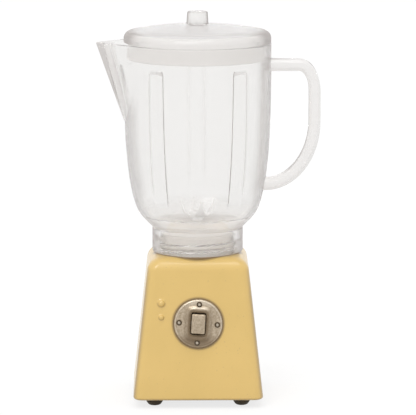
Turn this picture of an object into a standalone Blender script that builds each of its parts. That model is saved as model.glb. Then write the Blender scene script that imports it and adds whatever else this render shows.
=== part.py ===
"""Toy blender, a doll's kitchen piece 80 mm tall.

A clear jar with a pouring spout drawn out of its wall and five ribs inside it stands on a clear collar.
The collar screws onto a clear spigot on a hollow, tapered, painted base. The base has a riveted round
plate with a rocker switch on its front, two pips beside it and four rubber feet. A clear lid with a
knob closes the jar, and a four-armed blade turns on a pin in the jar's floor.

Metres, Z up. The feet stand on z = 0 and the front is the -Y side. The origin is under the middle of
the whole width, which the handle and the spout share unequally, so the jar's axis is beside it.
"""

import math

import bmesh
import bpy
from mathutils import Euler, Vector

# Clearances
SEAT_GAP = 0.0001  # between pieces that rest on one another or are fixed together
RUN_GAP = 0.00005  # between a small pin and its hole
THREAD_GAP = 0.00015  # between the thread's ridge and its groove
OVERRUN = 0.001  # how far a cutter passes the face that it opens

# Feet
FOOT_HEIGHT = 0.0018
FOOT_RADIUS = 0.00175
FOOT_FLAT = 0.0006
FOOT_INSET = 0.0044  # of a foot's middle from the housing's side
FOOT_STEM_RADIUS = 0.0009
FOOT_BULB_RADIUS = 0.00115
FOOT_BULB_HEIGHT = 0.0006

# Housing
HOUSING_HEIGHT = 0.0288
HOUSING_FOOT_HALF = 0.0133
HOUSING_HEAD_HALF = 0.0101
HOUSING_WALL = 0.0016
HOUSING_TOP_WALL = 0.0018
HOUSING_TOP_ROUND = 0.0026
HOUSING_CORNER_ROUND = 0.002
HOUSING_FOOT_ROUND = 0.0006
CAVITY_ROUND = 0.001
REBATE_STEP = 0.0003
POST_RADIUS = 0.0015
POST_INSET = 0.0022  # of a screw post's middle from the side of the housing's head
POST_SINK = 0.0003
BOSS_RADIUS = 0.0036
BOSS_DROP = 0.003

# Bottom plate and its two screws
BOTTOM_PLATE_THICKNESS = 0.0011
BOTTOM_PLATE_INSET = 0.0002
BOTTOM_PLATE_ROUND = 0.0002
BOTTOM_SCREW_RADIUS = 0.0005
BOTTOM_SCREW_LENGTH = 0.0065
BOTTOM_SCREW_HEAD_RADIUS = 0.0012
BOTTOM_SCREW_HEAD_HEIGHT = 0.0005

# Switch, measured from its seat on the housing's sloping front
SWITCH_HEIGHT = 0.0157
SWITCH_TWIST = math.radians(-3.5)
PLATE_RADIUS = 0.005
PLATE_RIM_RADIUS = 0.00475
PLATE_RIM_HEIGHT = 0.00035
PLATE_FLAT_HEIGHT = 0.00062
MOUND_FOOT_HALVES = (0.0027, 0.0035)
MOUND_SHOULDER_HALVES = (0.0025, 0.0033)
MOUND_CREST_HALVES = (0.0022, 0.003)
MOUND_SHOULDER_HEIGHT = 0.001
MOUND_HEIGHT = 0.0011
WINDOW_HALVES = (0.00165, 0.0025)
WINDOW_DEPTH = 0.00035
MOUND_SQUARENESS = 4
WINDOW_SQUARENESS = 12
OPENING_HALVES = (0.0026, 0.0029)
LUG_THICKNESS = 0.0006
LUG_HALF_WIDTH = 0.0008
LUG_DEPTH = 0.00135
LUG_SINK = 0.0003
RIVET_PLACE = 0.0039
RIVET_HEAD_RADIUS = 0.00045
RIVET_HEAD_HEIGHT = 0.00035
RIVET_SHANK_RADIUS = 0.00028
RIVET_TAIL = 0.0004

# Rocker
ROCKER_HALVES = (0.0014, 0.002)
ROCKER_HEIGHT = 0.0017
ROCKER_DEPTH = 0.0016
ROCKER_ROUND = 0.00025
ROCKER_PIVOT_DEPTH = 0.0006
ROCKER_PIN_RADIUS = 0.0004

# Pips on the housing's front, placed from the switch seat
PIP_SIDE = 0.0075
LARGE_PIP_RISE = 0.00415
LARGE_PIP_RADIUS = 0.00065
LARGE_PIP_FLARE = 0.0013
LARGE_PIP_HEIGHT = 0.0005
SMALL_PIP_RISE = 0.00128
SMALL_PIP_RADIUS = 0.00047
SMALL_PIP_FLARE = 0.0009
SMALL_PIP_HEIGHT = 0.00036
PIP_SINK = 0.0003

# Spigot with the male thread, its washer and its screw
SPIGOT_RADIUS = 0.00745
SPIGOT_HEIGHT = 0.0038
SPIGOT_CHAMFER = 0.0003
SPIGOT_WALL = 0.0012
SPIGOT_FLOOR = 0.0012
SPIGOT_STEM_RADIUS = 0.0025
THREAD_CREST_RADIUS = 0.00805
THREAD_PITCH = 0.0015
THREAD_START = 0.0006
THREAD_TURNS = 1.5
THREAD_ROOT_HALF = 0.0005
THREAD_CREST_HALF = 0.0002
THREAD_TAPER_TURNS = 0.1
WASHER_RADIUS = 0.0034
WASHER_THICKNESS = 0.0006
SPIGOT_SCREW_RADIUS = 0.0008
SPIGOT_SCREW_LENGTH = 0.005
SPIGOT_SCREW_HEAD_RADIUS = 0.0019
SPIGOT_SCREW_HEAD_HEIGHT = 0.0008

# Collar
COLLAR_HEIGHT = 0.005
COLLAR_RADIUS = 0.0093
COLLAR_BORE = 0.0076
COLLAR_CHAMFER = 0.0003
GROOVE_RUN_TURNS = 0.07  # how far the groove runs on past the ridge's upper end

# Jar
JAR_HEIGHT = 0.03795
JAR_RADIUS = 0.0151
JAR_WALL = 0.0008
JAR_FLOOR = 0.0008
JAR_BOSS_HEIGHT = 0.0006
JAR_BOSS_RIM = 0.0012  # thickness of the rim that hangs from the boss, over the spigot's wall
# Shares of the jar's height, and of the step from the foot's radius to the full radius
JAR_OUTLINE_SHARES = (
    (0, 0),
    (0.03, 0.19),
    (0.052, 0.33),
    (0.096, 0.525),
    (0.14, 0.633),
    (0.183, 0.707),
    (0.29, 0.83),
    (0.47, 0.938),
    (0.70, 0.99),
    (0.82, 1),
    (1, 1),
)
JAR_ROW_SHARES = (0.015, 0.03, 0.052, 0.074, 0.096, 0.14, 0.183, 0.24, 0.3, 0.38, 0.47, 0.565, 0.65, 0.74, 0.82, 0.91)
SPOUT_OVERHANG = 0.0059  # of the spout's tip beyond the jar's round wall
SPOUT_START_SHARE = 0.565  # of the jar's height
SPOUT_KEEL = 0.0006  # how much thicker the wall is inside the spout's tip, at the rim
RIB_COUNT = 5
RIB_DEPTH = 0.0005
RIB_FOOT_WIDTH = 0.0037
RIB_CREST_WIDTH = 0.0031
RIB_TOP_DROP = 0.00445
RIB_TOP_FADE = 0.0004
RIB_START = 0.0043
RIB_START_FADE = 0.003

# Blade and its pin
PIN_RADIUS = 0.0006
PIN_HEAD_RADIUS = 0.001
PIN_HEAD_HEIGHT = 0.00045
PIN_SHOULDER_RADIUS = 0.0011
PIN_SHOULDER_HEIGHT = 0.0003
PIN_TAIL_HEIGHT = 0.0004
BLADE_HUB_RADIUS = 0.0013
BLADE_HUB_HEIGHT = 0.0017
BLADE_BORE = 0.0007
BLADE_COUNT = 4
BLADE_TURN = math.radians(12)
BLADE_ROOT_REACH = 0.001
BLADE_BEND_REACH = 0.0031
BLADE_TIP_REACH = 0.0035
BLADE_ROOT_HEIGHT = 0.0007
BLADE_TIP_HEIGHT = 0.0042
BLADE_WIDTH = 0.0023
BLADE_THICKNESS = 0.00045
BLADE_WIDTH_SHARES = (0.8, 1, 1, 0.9, 0.55, 0.14)

# Handle
HANDLE_STANDOFF = 0.01004  # of the handle's outer side from the jar's wall
HANDLE_THICKNESS = 0.00235
HANDLE_WIDTH = 0.004
HANDLE_CHAMFER = 0.0005
HANDLE_SINK_SHARE = 0.6  # of the jar's wall
HANDLE_TOP_DROP = 0.00467
HANDLE_CORNER_WIDTH = 0.0032
HANDLE_CORNER_HEIGHT = 0.0055
HANDLE_BELLY_WIDTH = 0.01
HANDLE_BELLY_HEIGHT = 0.013
HANDLE_FOOT_RISE = 0.0087

# Lid and knob
LID_SETBACK = 0.00005  # of the lid's edge behind the jar's wall
LID_WALL = 0.0012
LID_BEAD_RADIUS = 0.00142
LID_EDGE_HEIGHT = 0.00075
LID_BORDER_WIDTH = 0.00285  # from the lid's edge in to the foot of its dome
LID_VALLEY_HEIGHT = 0.0018
LID_RISE = 0.0035
LID_SKIRT_GAP = 0.00015  # between the lid's skirt and the jar
LID_SKIRT_THICKNESS = 0.001
LID_SKIRT_DEPTH = 0.00345
KNOB_FOOT_RADIUS = 0.00224
KNOB_HEAD_RADIUS = 0.00206
KNOB_HEIGHT = 0.00265
KNOB_ROUND = 0.0004
KNOB_STEM_RADIUS = 0.0011

# Fineness of the round shapes
TURN_STEPS = 40
SMALL_TURN_STEPS = 16
ARC_STEPS = 3
CURVE_STEPS = 6
RING_COLUMNS = 40
JAR_COLUMN_ANGLE = math.radians(12)
SHARP_ANGLE = math.radians(35)

# Heights
housing_low = FOOT_HEIGHT + SEAT_GAP - BOTTOM_PLATE_INSET
housing_top = housing_low + HOUSING_HEIGHT
ceiling = housing_top - HOUSING_TOP_WALL
boss_low = ceiling - BOSS_DROP
washer_top = boss_low - SEAT_GAP
washer_low = washer_top - WASHER_THICKNESS
bottom_plate_low = housing_low + BOTTOM_PLATE_INSET
bottom_plate_top = bottom_plate_low + BOTTOM_PLATE_THICKNESS
rebate_top = bottom_plate_top + SEAT_GAP
collar_low = housing_top + SEAT_GAP
collar_top = collar_low + COLLAR_HEIGHT
spigot_top = collar_low + SPIGOT_HEIGHT
spigot_floor = collar_low + SPIGOT_FLOOR
jar_low = collar_top + SEAT_GAP
jar_floor = jar_low + JAR_FLOOR
jar_boss_low = jar_low - JAR_BOSS_HEIGHT
boss_rim_low = spigot_top + SEAT_GAP
jar_rim = jar_low + JAR_HEIGHT
lid_low = jar_rim + SEAT_GAP
lid_bead = lid_low + LID_EDGE_HEIGHT
lid_top = lid_low + LID_RISE
hub_low = jar_floor + SEAT_GAP + PIN_SHOULDER_HEIGHT + SEAT_GAP

# Widths
lean = math.atan2(HOUSING_FOOT_HALF - HOUSING_HEAD_HALF, HOUSING_HEIGHT)
cavity_foot_half = HOUSING_FOOT_HALF - HOUSING_WALL
cavity_head_half = HOUSING_HEAD_HALF - HOUSING_WALL
rebate_half = cavity_foot_half + REBATE_STEP
foot_place = HOUSING_FOOT_HALF - FOOT_INSET
post_place = HOUSING_HEAD_HALF - POST_INSET
spout_reach = JAR_RADIUS + SPOUT_OVERHANG
handle_reach = JAR_RADIUS + HANDLE_STANDOFF
handle_sink = JAR_WALL * HANDLE_SINK_SHARE
lid_radius = JAR_RADIUS - LID_SETBACK
lid_valley_radius = lid_radius - LID_BORDER_WIDTH
lid_skirt_radius = JAR_RADIUS - JAR_WALL - LID_SKIRT_GAP
axis_x = (spout_reach - handle_reach) / 2


# Scene and helpers


def clear_scene():
    for obj in list(bpy.data.objects):
        bpy.data.objects.remove(obj)


def new_collection(name):
    made = bpy.data.collections.new(name)
    bpy.context.scene.collection.children.link(made)
    return made


def empty(name, parent=None, place=(0, 0, 0), turn=(0, 0, 0)):
    obj = bpy.data.objects.new(name, None)
    model.objects.link(obj)
    obj.parent = parent
    obj.location = place
    obj.rotation_euler = turn
    obj.empty_display_size = SWITCH_HEIGHT
    return obj


def put(name, data, where, parent, place=(0, 0, 0), turn=(0, 0, 0)):
    obj = bpy.data.objects.new(name, data)
    where.objects.link(obj)
    obj.parent = parent
    obj.location = place
    obj.rotation_euler = turn
    if where == cutters:
        obj.hide_render = True
        obj.display_type = "WIRE"
    return obj


def mesh_from(name, bm):
    bmesh.ops.recalc_face_normals(bm, faces=bm.faces)
    mesh = bpy.data.meshes.new(name)
    bm.to_mesh(mesh)
    bm.free()
    return mesh


def block(name, where, parent, foot_halves, head_halves, low, high, **placing):
    """A four-sided block with its half-sizes along X and Y at its foot and at its head."""
    bm = bmesh.new()
    bmesh.ops.create_cube(bm, size=1)
    for vert in bm.verts:
        halves = head_halves if vert.co.z > 0 else foot_halves
        vert.co.x = math.copysign(halves[0], vert.co.x)
        vert.co.y = math.copysign(halves[1], vert.co.y)
        vert.co.z = high if vert.co.z > 0 else low
    return put(name, mesh_from(name, bm), where, parent, **placing)


def round_edges(obj, head, upright, foot):
    """A Bevel whose width on each of a block's edges follows the edge's weight."""
    mesh = obj.data
    widest = max(head, upright, foot)
    middle = sum(vert.co.z for vert in mesh.vertices) / len(mesh.vertices)
    weights = mesh.attributes.new("bevel_weight_edge", "FLOAT", "EDGE")
    for edge in mesh.edges:
        upper = [mesh.vertices[i].co.z > middle for i in edge.vertices]
        radius = head if all(upper) else upright if any(upper) else foot
        weights.data[edge.index].value = radius / widest
    bevel = obj.modifiers.new("round_edges", "BEVEL")
    bevel.limit_method = "WEIGHT"
    bevel.width = widest
    bevel.segments = ARC_STEPS


def turned(name, where, parent, outline, steps=TURN_STEPS, **placing):
    """An outline of (radius, height), from the top down its outer side, turned about the local Z axis."""
    mesh = bpy.data.meshes.new(name)
    links = [(i, i + 1) for i in range(len(outline) - 1)]
    bored = outline[0][0] > RUN_GAP
    if bored:
        links.append((len(outline) - 1, 0))
    mesh.from_pydata([(radius, 0, height) for radius, height in outline], links, [])
    obj = put(name, mesh, where, parent, **placing)
    screw = obj.modifiers.new("turn", "SCREW")
    screw.steps = steps
    screw.render_steps = steps
    screw.use_merge_vertices = True
    screw.merge_threshold = SEAT_GAP / TURN_STEPS
    return obj


def rod(name, where, parent, radius, low, high, steps=SMALL_TURN_STEPS, **placing):
    return turned(name, where, parent, [(0, high), (radius, high), (radius, low), (0, low)], steps, **placing)


def loft(name, where, parent, rings, closed=False, **placing):
    """A skin over rings of one length. Closed, the last ring joins the first, and otherwise both are capped."""
    bm = bmesh.new()
    rows = [[bm.verts.new(point) for point in ring] for ring in rings]
    following = rows[1:] + rows[:1] if closed else rows[1:]
    for row, following_row in zip(rows, following):
        for i in range(len(row)):
            j = (i + 1) % len(row)
            bm.faces.new((row[i], row[j], following_row[j], following_row[i]))
    if not closed:
        bm.faces.new(rows[0])
        bm.faces.new(rows[-1])
    return put(name, mesh_from(name, bm), where, parent, **placing)


def cut(part, tool, operation="DIFFERENCE", solver="EXACT"):
    """Small features on a face that is cut already take the MANIFOLD solver, which keeps the face closed."""
    boolean = part.modifiers.new(tool.name, "BOOLEAN")
    boolean.operation = operation
    boolean.solver = solver
    boolean.object = tool


def mirror_about(obj, centre, across_y=True):
    mirror = obj.modifiers.new("mirror", "MIRROR")
    mirror.mirror_object = centre
    mirror.use_axis = (True, across_y, False)
    mirror.use_mirror_merge = False


def arc(centre, width, height, start, end, steps=ARC_STEPS):
    """Points along an ellipse's arc, in the plane of a radius and a height, between two angles in degrees."""
    points = []
    for i in range(steps + 1):
        angle = math.radians(start + (end - start) * i / steps)
        points.append((centre[0] + width * math.cos(angle), centre[1] + height * math.sin(angle)))
    return points


def linear(colour):
    return [((channel / 255 + 0.055) / 1.055) ** 2.4 for channel in colour]


def finish(obj, colour, roughness, metallic=0, transmission=0):
    """Gives a piece its own material, and smooth shading on its round faces."""
    material = bpy.data.materials.new(obj.name)
    material.use_nodes = True
    shader = material.node_tree.nodes["Principled BSDF"]
    shader.inputs["Base Color"].default_value = (*linear(colour), 1)
    shader.inputs["Roughness"].default_value = roughness
    shader.inputs["Metallic"].default_value = metallic
    shader.inputs["Transmission Weight"].default_value = transmission
    material.diffuse_color = (*linear(colour), 1)
    obj.data.materials.append(material)
    if obj.type == "MESH":
        obj.data.shade_smooth()
        obj.data.set_sharp_from_angle(angle=SHARP_ANGLE)
    return obj


def painted(obj):
    return finish(obj, (224, 192, 123), 0.35)


def silvered(obj):
    return finish(obj, (184, 167, 143), 0.4, metallic=0.9)


def steel(obj):
    return finish(obj, (190, 188, 184), 0.3, metallic=1)


def rubber(obj):
    return finish(obj, (67, 56, 36), 0.8)


def clear(obj):
    return finish(obj, (240, 238, 235), 0.08, transmission=0.9)


# Base


def housing_half(height):
    """The housing's half-width at a height above its own foot."""
    return HOUSING_FOOT_HALF - height * math.tan(lean)


def make_housing():
    foot = (HOUSING_FOOT_HALF, HOUSING_FOOT_HALF)
    head = (HOUSING_HEAD_HALF, HOUSING_HEAD_HALF)
    housing = block("base_housing", model, stand, foot, head, housing_low, housing_top)
    round_edges(housing, HOUSING_TOP_ROUND, HOUSING_CORNER_ROUND, HOUSING_FOOT_ROUND)

    # The hollow goes on past the open foot along the same slope.
    wider = cavity_foot_half + OVERRUN * math.tan(lean)
    head = (cavity_head_half, cavity_head_half)
    hollow = block("housing_hollow", cutters, stand, (wider, wider), head, housing_low - OVERRUN, ceiling)
    round_edges(hollow, CAVITY_ROUND, CAVITY_ROUND, 0)
    cut(housing, hollow)

    halves = (rebate_half, rebate_half)
    cut(housing, block("plate_rebate", cutters, stand, halves, halves, housing_low - OVERRUN, rebate_top))

    boss = rod("spigot_boss", cutters, stand, BOSS_RADIUS, boss_low, ceiling + POST_SINK, TURN_STEPS)
    cut(housing, boss, "UNION")
    stem_hole = SPIGOT_STEM_RADIUS + SEAT_GAP
    hole = rod("spigot_hole", cutters, stand, stem_hole, boss_low - OVERRUN, housing_top + OVERRUN, TURN_STEPS)
    cut(housing, hole)

    post_top = ceiling + POST_SINK
    posts = rod("screw_posts", cutters, stand, POST_RADIUS, rebate_top, post_top, place=(post_place, 0, 0))
    mirror_about(posts, stand, across_y=False)
    cut(housing, posts, "UNION")
    screw_hole = BOTTOM_SCREW_RADIUS + SEAT_GAP
    hole_top = rebate_top + BOTTOM_SCREW_LENGTH
    holes = rod("post_holes", cutters, stand, screw_hole, housing_low, hole_top, place=(post_place, 0, 0))
    mirror_about(holes, stand, across_y=False)
    cut(housing, holes)

    deep = -HOUSING_WALL - OVERRUN
    opening = block("switch_opening", cutters, switch_turn, OPENING_HALVES, OPENING_HALVES, deep, OVERRUN)
    cut(housing, opening, solver="MANIFOLD")
    for i, place in enumerate(rivet_places()):
        hole_radius = RIVET_SHANK_RADIUS + RUN_GAP
        hole = rod(f"housing_rivet_hole_{i}", cutters, switch_turn, hole_radius, deep, OVERRUN, place=place)
        cut(housing, hole, solver="MANIFOLD")

    sizes = (
        (LARGE_PIP_RISE, LARGE_PIP_RADIUS, LARGE_PIP_FLARE, LARGE_PIP_HEIGHT),
        (SMALL_PIP_RISE, SMALL_PIP_RADIUS, SMALL_PIP_FLARE, SMALL_PIP_HEIGHT),
    )
    for i, (rise, radius, flare, height) in enumerate(sizes):
        neck = (radius + flare) / 2
        dome = arc((0, 0), radius, height, 90, 30)
        outline = [*dome, (neck, height / CURVE_STEPS), (flare, 0), (flare, -PIP_SINK), (0, -PIP_SINK)]
        pip = turned(f"pip_{i}", cutters, switch_seat, outline, SMALL_TURN_STEPS, place=(-PIP_SIDE, rise, 0))
        cut(housing, pip, "UNION", "MANIFOLD")
    painted(housing)


def foot_places():
    sides = (("front_left", -1, -1), ("front_right", 1, -1), ("rear_left", -1, 1), ("rear_right", 1, 1))
    return [(name, (x * foot_place, y * foot_place, 0)) for name, x, y in sides]


def make_feet():
    bulb_low = bottom_plate_top + SEAT_GAP
    bulb_top = bulb_low + FOOT_BULB_HEIGHT
    dome = arc((FOOT_FLAT, FOOT_HEIGHT), FOOT_RADIUS - FOOT_FLAT, FOOT_HEIGHT, 0, -90)
    outline = [
        (0, bulb_top),
        (FOOT_STEM_RADIUS, bulb_top),
        (FOOT_BULB_RADIUS, bulb_low),
        (FOOT_STEM_RADIUS, bulb_low),
        (FOOT_STEM_RADIUS, FOOT_HEIGHT),
        *dome,
        (0, 0),
    ]
    for name, place in foot_places():
        rubber(turned(f"foot_{name}", model, stand, outline, SMALL_TURN_STEPS, place=place))


def make_bottom_plate():
    half = rebate_half - SEAT_GAP
    plate = block("bottom_plate", model, stand, (half, half), (half, half), bottom_plate_low, bottom_plate_top)
    round_edges(plate, BOTTOM_PLATE_ROUND, HOUSING_CORNER_ROUND, BOTTOM_PLATE_ROUND)
    low = bottom_plate_low - OVERRUN
    high = bottom_plate_top + OVERRUN
    stem = FOOT_STEM_RADIUS + SEAT_GAP
    holes = rod("foot_holes", cutters, stand, stem, low, high, place=(foot_place, foot_place, 0))
    mirror_about(holes, stand)
    cut(plate, holes)
    screw = BOTTOM_SCREW_RADIUS + SEAT_GAP
    holes = rod("plate_screw_holes", cutters, stand, screw, low, high, place=(post_place, 0, 0))
    mirror_about(holes, stand, across_y=False)
    cut(plate, holes)
    finish(plate, (70, 66, 62), 0.6)


def screw_outline(radius, length, head_radius, head_height, head_top):
    """A screw with its shank up and its head down."""
    tip = head_top + length
    low = head_top - head_height
    return [
        (0, tip),
        (radius, tip - radius),
        (radius, head_top),
        (head_radius, head_top),
        (head_radius, low + head_height / 2),
        (head_radius - head_height / 2, low),
        (0, low),
    ]


def make_bottom_screws():
    head_top = bottom_plate_low - SEAT_GAP
    outline = screw_outline(
        BOTTOM_SCREW_RADIUS,
        BOTTOM_SCREW_LENGTH,
        BOTTOM_SCREW_HEAD_RADIUS,
        BOTTOM_SCREW_HEAD_HEIGHT,
        head_top,
    )
    for name, x in (("left", -post_place), ("right", post_place)):
        steel(turned(f"bottom_screw_{name}", model, stand, outline, SMALL_TURN_STEPS, place=(x, 0, 0)))


# Switch, in the seat's frame: X to the right, Y up the sloping front, Z straight out of it


def rivet_places():
    return [
        (0, RIVET_PLACE, 0),
        (-RIVET_PLACE, 0, 0),
        (RIVET_PLACE, 0, 0),
        (0, -RIVET_PLACE, 0),
    ]


def soft_ring(halves, squareness, height):
    """A ring that is an ellipse at a squareness of two and comes near a rectangle as it grows."""
    points = []
    for i in range(RING_COLUMNS):
        angle = math.tau * i / RING_COLUMNS
        across = abs(math.cos(angle)) / halves[0]
        along = abs(math.sin(angle)) / halves[1]
        reach = (across**squareness + along**squareness) ** (-1 / squareness)
        points.append((reach * math.cos(angle), reach * math.sin(angle), height))
    return points


def make_switch_plate():
    round_halves = (PLATE_RADIUS, PLATE_RADIUS)
    rim_halves = (PLATE_RIM_RADIUS, PLATE_RIM_RADIUS)
    window_top = MOUND_HEIGHT - WINDOW_DEPTH
    rings = [
        soft_ring(round_halves, 2, SEAT_GAP),
        soft_ring(round_halves, 2, PLATE_RIM_HEIGHT),
        soft_ring(rim_halves, 2, PLATE_FLAT_HEIGHT),
        soft_ring(MOUND_FOOT_HALVES, MOUND_SQUARENESS, PLATE_FLAT_HEIGHT),
        soft_ring(MOUND_SHOULDER_HALVES, MOUND_SQUARENESS, MOUND_SHOULDER_HEIGHT),
        soft_ring(MOUND_CREST_HALVES, MOUND_SQUARENESS, MOUND_HEIGHT),
        soft_ring(WINDOW_HALVES, WINDOW_SQUARENESS, window_top),
        soft_ring(WINDOW_HALVES, WINDOW_SQUARENESS, SEAT_GAP),
    ]
    plate = loft("switch_plate", model, switch_turn, rings, closed=True)
    lug_centre = WINDOW_HALVES[0] + SEAT_GAP + LUG_THICKNESS / 2
    halves = (LUG_THICKNESS / 2, LUG_HALF_WIDTH)
    lugs = block(
        "plate_lugs",
        cutters,
        switch_turn,
        halves,
        halves,
        -LUG_DEPTH,
        SEAT_GAP + LUG_SINK,
        place=(lug_centre, 0, 0),
    )
    mirror_about(lugs, switch_turn, across_y=False)
    cut(plate, lugs, "UNION")
    cut(plate, pivot_rod("lug_holes", cutters, ROCKER_PIN_RADIUS + RUN_GAP, lug_reach() + OVERRUN))
    for i, place in enumerate(rivet_places()):
        hole_radius = RIVET_SHANK_RADIUS + RUN_GAP
        hole = rod(f"plate_rivet_hole_{i}", cutters, switch_turn, hole_radius, -OVERRUN, OVERRUN, place=place)
        cut(plate, hole, solver="MANIFOLD")
    silvered(plate)


def lug_reach():
    return WINDOW_HALVES[0] + SEAT_GAP + LUG_THICKNESS


def pivot_rod(name, where, radius, reach):
    """A rod along the rocker's axis, as long on one side of the middle as on the other."""
    across = (0, math.radians(90), 0)
    return rod(name, where, rocker_pivot, radius, -reach, reach, turn=across)


def make_rivets():
    head_low = PLATE_FLAT_HEIGHT + RUN_GAP
    dome = arc((0, head_low), RIVET_HEAD_RADIUS, RIVET_HEAD_HEIGHT, 90, 0)
    tail = -HOUSING_WALL - RIVET_TAIL
    outline = [*dome, (RIVET_SHANK_RADIUS, head_low), (RIVET_SHANK_RADIUS, tail), (0, tail)]
    for name, place in zip(("top", "left", "right", "bottom"), rivet_places()):
        silvered(turned(f"plate_rivet_{name}", model, switch_turn, outline, SMALL_TURN_STEPS, place=place))


def make_rocker():
    low = ROCKER_PIVOT_DEPTH - ROCKER_DEPTH
    high = ROCKER_PIVOT_DEPTH + ROCKER_HEIGHT
    rocker = block("rocker", model, rocker_pivot, ROCKER_HALVES, ROCKER_HALVES, low, high)
    round_edges(rocker, ROCKER_ROUND, ROCKER_ROUND, ROCKER_ROUND)
    cut(rocker, pivot_rod("rocker_bore", cutters, ROCKER_PIN_RADIUS + RUN_GAP, ROCKER_HALVES[0] + OVERRUN))
    silvered(rocker)
    steel(pivot_rod("rocker_pin", model, ROCKER_PIN_RADIUS, lug_reach()))


# Screw joint between the base and the jar


def helix(name, inner, outer, inner_half, outer_half, start_turn, end_turn, taper_turns=0):
    """A bar of trapezoid section along the right-hand thread, sinking inwards at its ends over its taper."""
    steps = round((end_turn - start_turn) * TURN_STEPS)
    taper_steps = max(1, round(taper_turns * TURN_STEPS))
    rings = []
    for i in range(steps + 1):
        turn = start_turn + i / TURN_STEPS
        middle = collar_low + THREAD_START + turn * THREAD_PITCH
        share = min(1, (i + 1) / taper_steps, (steps - i + 1) / taper_steps)
        reach = inner + (outer - inner) * share
        corners = (
            (inner, middle - inner_half),
            (reach, middle - outer_half),
            (reach, middle + outer_half),
            (inner, middle + inner_half),
        )
        angle = math.tau * turn
        rings.append([(r * math.cos(angle), r * math.sin(angle), z) for r, z in corners])
    return loft(name, cutters, stand, rings)


def make_spigot():
    """A cup open at its top, with the thread round it and a stem that goes down through the housing's boss."""
    stem_low = boss_low + SEAT_GAP
    bore = SPIGOT_RADIUS - SPIGOT_WALL
    outline = [
        (0, spigot_floor),
        (bore, spigot_floor),
        (bore, spigot_top),
        (SPIGOT_RADIUS - SPIGOT_CHAMFER, spigot_top),
        (SPIGOT_RADIUS, spigot_top - SPIGOT_CHAMFER),
        (SPIGOT_RADIUS, collar_low),
        (SPIGOT_STEM_RADIUS, collar_low),
        (SPIGOT_STEM_RADIUS, stem_low),
        (0, stem_low),
    ]
    spigot = turned("threaded_spigot", model, stand, outline)
    ridge = helix(
        "spigot_ridge",
        SPIGOT_RADIUS - THREAD_GAP,
        THREAD_CREST_RADIUS,
        THREAD_ROOT_HALF,
        THREAD_CREST_HALF,
        0,
        THREAD_TURNS,
        THREAD_TAPER_TURNS,
    )
    cut(spigot, ridge, "UNION")
    hole = SPIGOT_SCREW_RADIUS + SEAT_GAP
    hole_top = washer_low + SPIGOT_SCREW_LENGTH
    cut(spigot, rod("spigot_screw_hole", cutters, stand, hole, stem_low - OVERRUN, hole_top))
    clear(spigot)


def make_spigot_fixings():
    hole = SPIGOT_SCREW_RADIUS + SEAT_GAP
    outline = [(hole, washer_top), (WASHER_RADIUS, washer_top), (WASHER_RADIUS, washer_low), (hole, washer_low)]
    steel(turned("spigot_washer", model, stand, outline, SMALL_TURN_STEPS))
    outline = screw_outline(
        SPIGOT_SCREW_RADIUS,
        SPIGOT_SCREW_LENGTH,
        SPIGOT_SCREW_HEAD_RADIUS,
        SPIGOT_SCREW_HEAD_HEIGHT,
        washer_low - SEAT_GAP,
    )
    steel(turned("spigot_screw", model, stand, outline, SMALL_TURN_STEPS))


def make_collar():
    top_edge = collar_top - COLLAR_CHAMFER
    low_edge = collar_low + COLLAR_CHAMFER
    outline = [
        (COLLAR_BORE, collar_top),
        (COLLAR_RADIUS - COLLAR_CHAMFER, collar_top),
        (COLLAR_RADIUS, top_edge),
        (COLLAR_RADIUS, low_edge),
        (COLLAR_RADIUS - COLLAR_CHAMFER, collar_low),
        (COLLAR_BORE, collar_low),
    ]
    collar = turned("jar_collar", model, jar_turn, outline)
    half_rise = THREAD_ROOT_HALF + THREAD_GAP
    start_turn = -(THREAD_START + half_rise + OVERRUN / 2) / THREAD_PITCH
    groove = helix(
        "collar_groove",
        SPIGOT_RADIUS,
        THREAD_CREST_RADIUS + THREAD_GAP,
        half_rise,
        THREAD_CREST_HALF + THREAD_GAP,
        start_turn,
        THREAD_TURNS + GROOVE_RUN_TURNS,
    )
    cut(collar, groove)
    clear(collar)


# Jar


def smooth_value(table, at):
    """A value on a smooth curve through a table's points that never overshoots them."""
    spans = [(b[0] - a[0], (b[1] - a[1]) / (b[0] - a[0])) for a, b in zip(table, table[1:])]
    slopes = [spans[0][1]]
    for (_, before), (_, after) in zip(spans, spans[1:]):
        slopes.append(2 * before * after / (before + after) if before * after > 0 else 0)
    slopes.append(spans[-1][1])
    i = max(k for k, point in enumerate(table[:-1]) if point[0] <= at)
    width = spans[i][0]
    t = (at - table[i][0]) / width
    u = 1 - t
    ends = table[i][1] * (1 + 2 * t) * u**2 + table[i + 1][1] * (1 + 2 * u) * t**2
    return ends + width * t * u * (slopes[i] * u - slopes[i + 1] * t)


def jar_radius(height):
    """The jar's outer radius, beside the spout, at a height above its foot."""
    share = min(max(height / JAR_HEIGHT, 0), 1)
    return COLLAR_RADIUS + (JAR_RADIUS - COLLAR_RADIUS) * smooth_value(JAR_OUTLINE_SHARES, share)


def jar_bore(height):
    """The radius inside the wall, which keeps its thickness square to the wall's slope."""
    step = JAR_WALL
    low = max(height - step, 0)
    high = min(height + step, JAR_HEIGHT)
    slope = (jar_radius(high) - jar_radius(low)) / (high - low)
    return jar_radius(height) - JAR_WALL * math.hypot(1, slope)


def spout_angle(height):
    """How far to each side of the spout's tip its flat sides meet the round wall."""
    start = JAR_HEIGHT * SPOUT_START_SHARE
    if height <= start:
        return 0
    share = (height - start) / (JAR_HEIGHT - start)
    tip = jar_radius(start) + (spout_reach - jar_radius(start)) * share
    return math.acos(min(jar_radius(height) / tip, 1))


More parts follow.
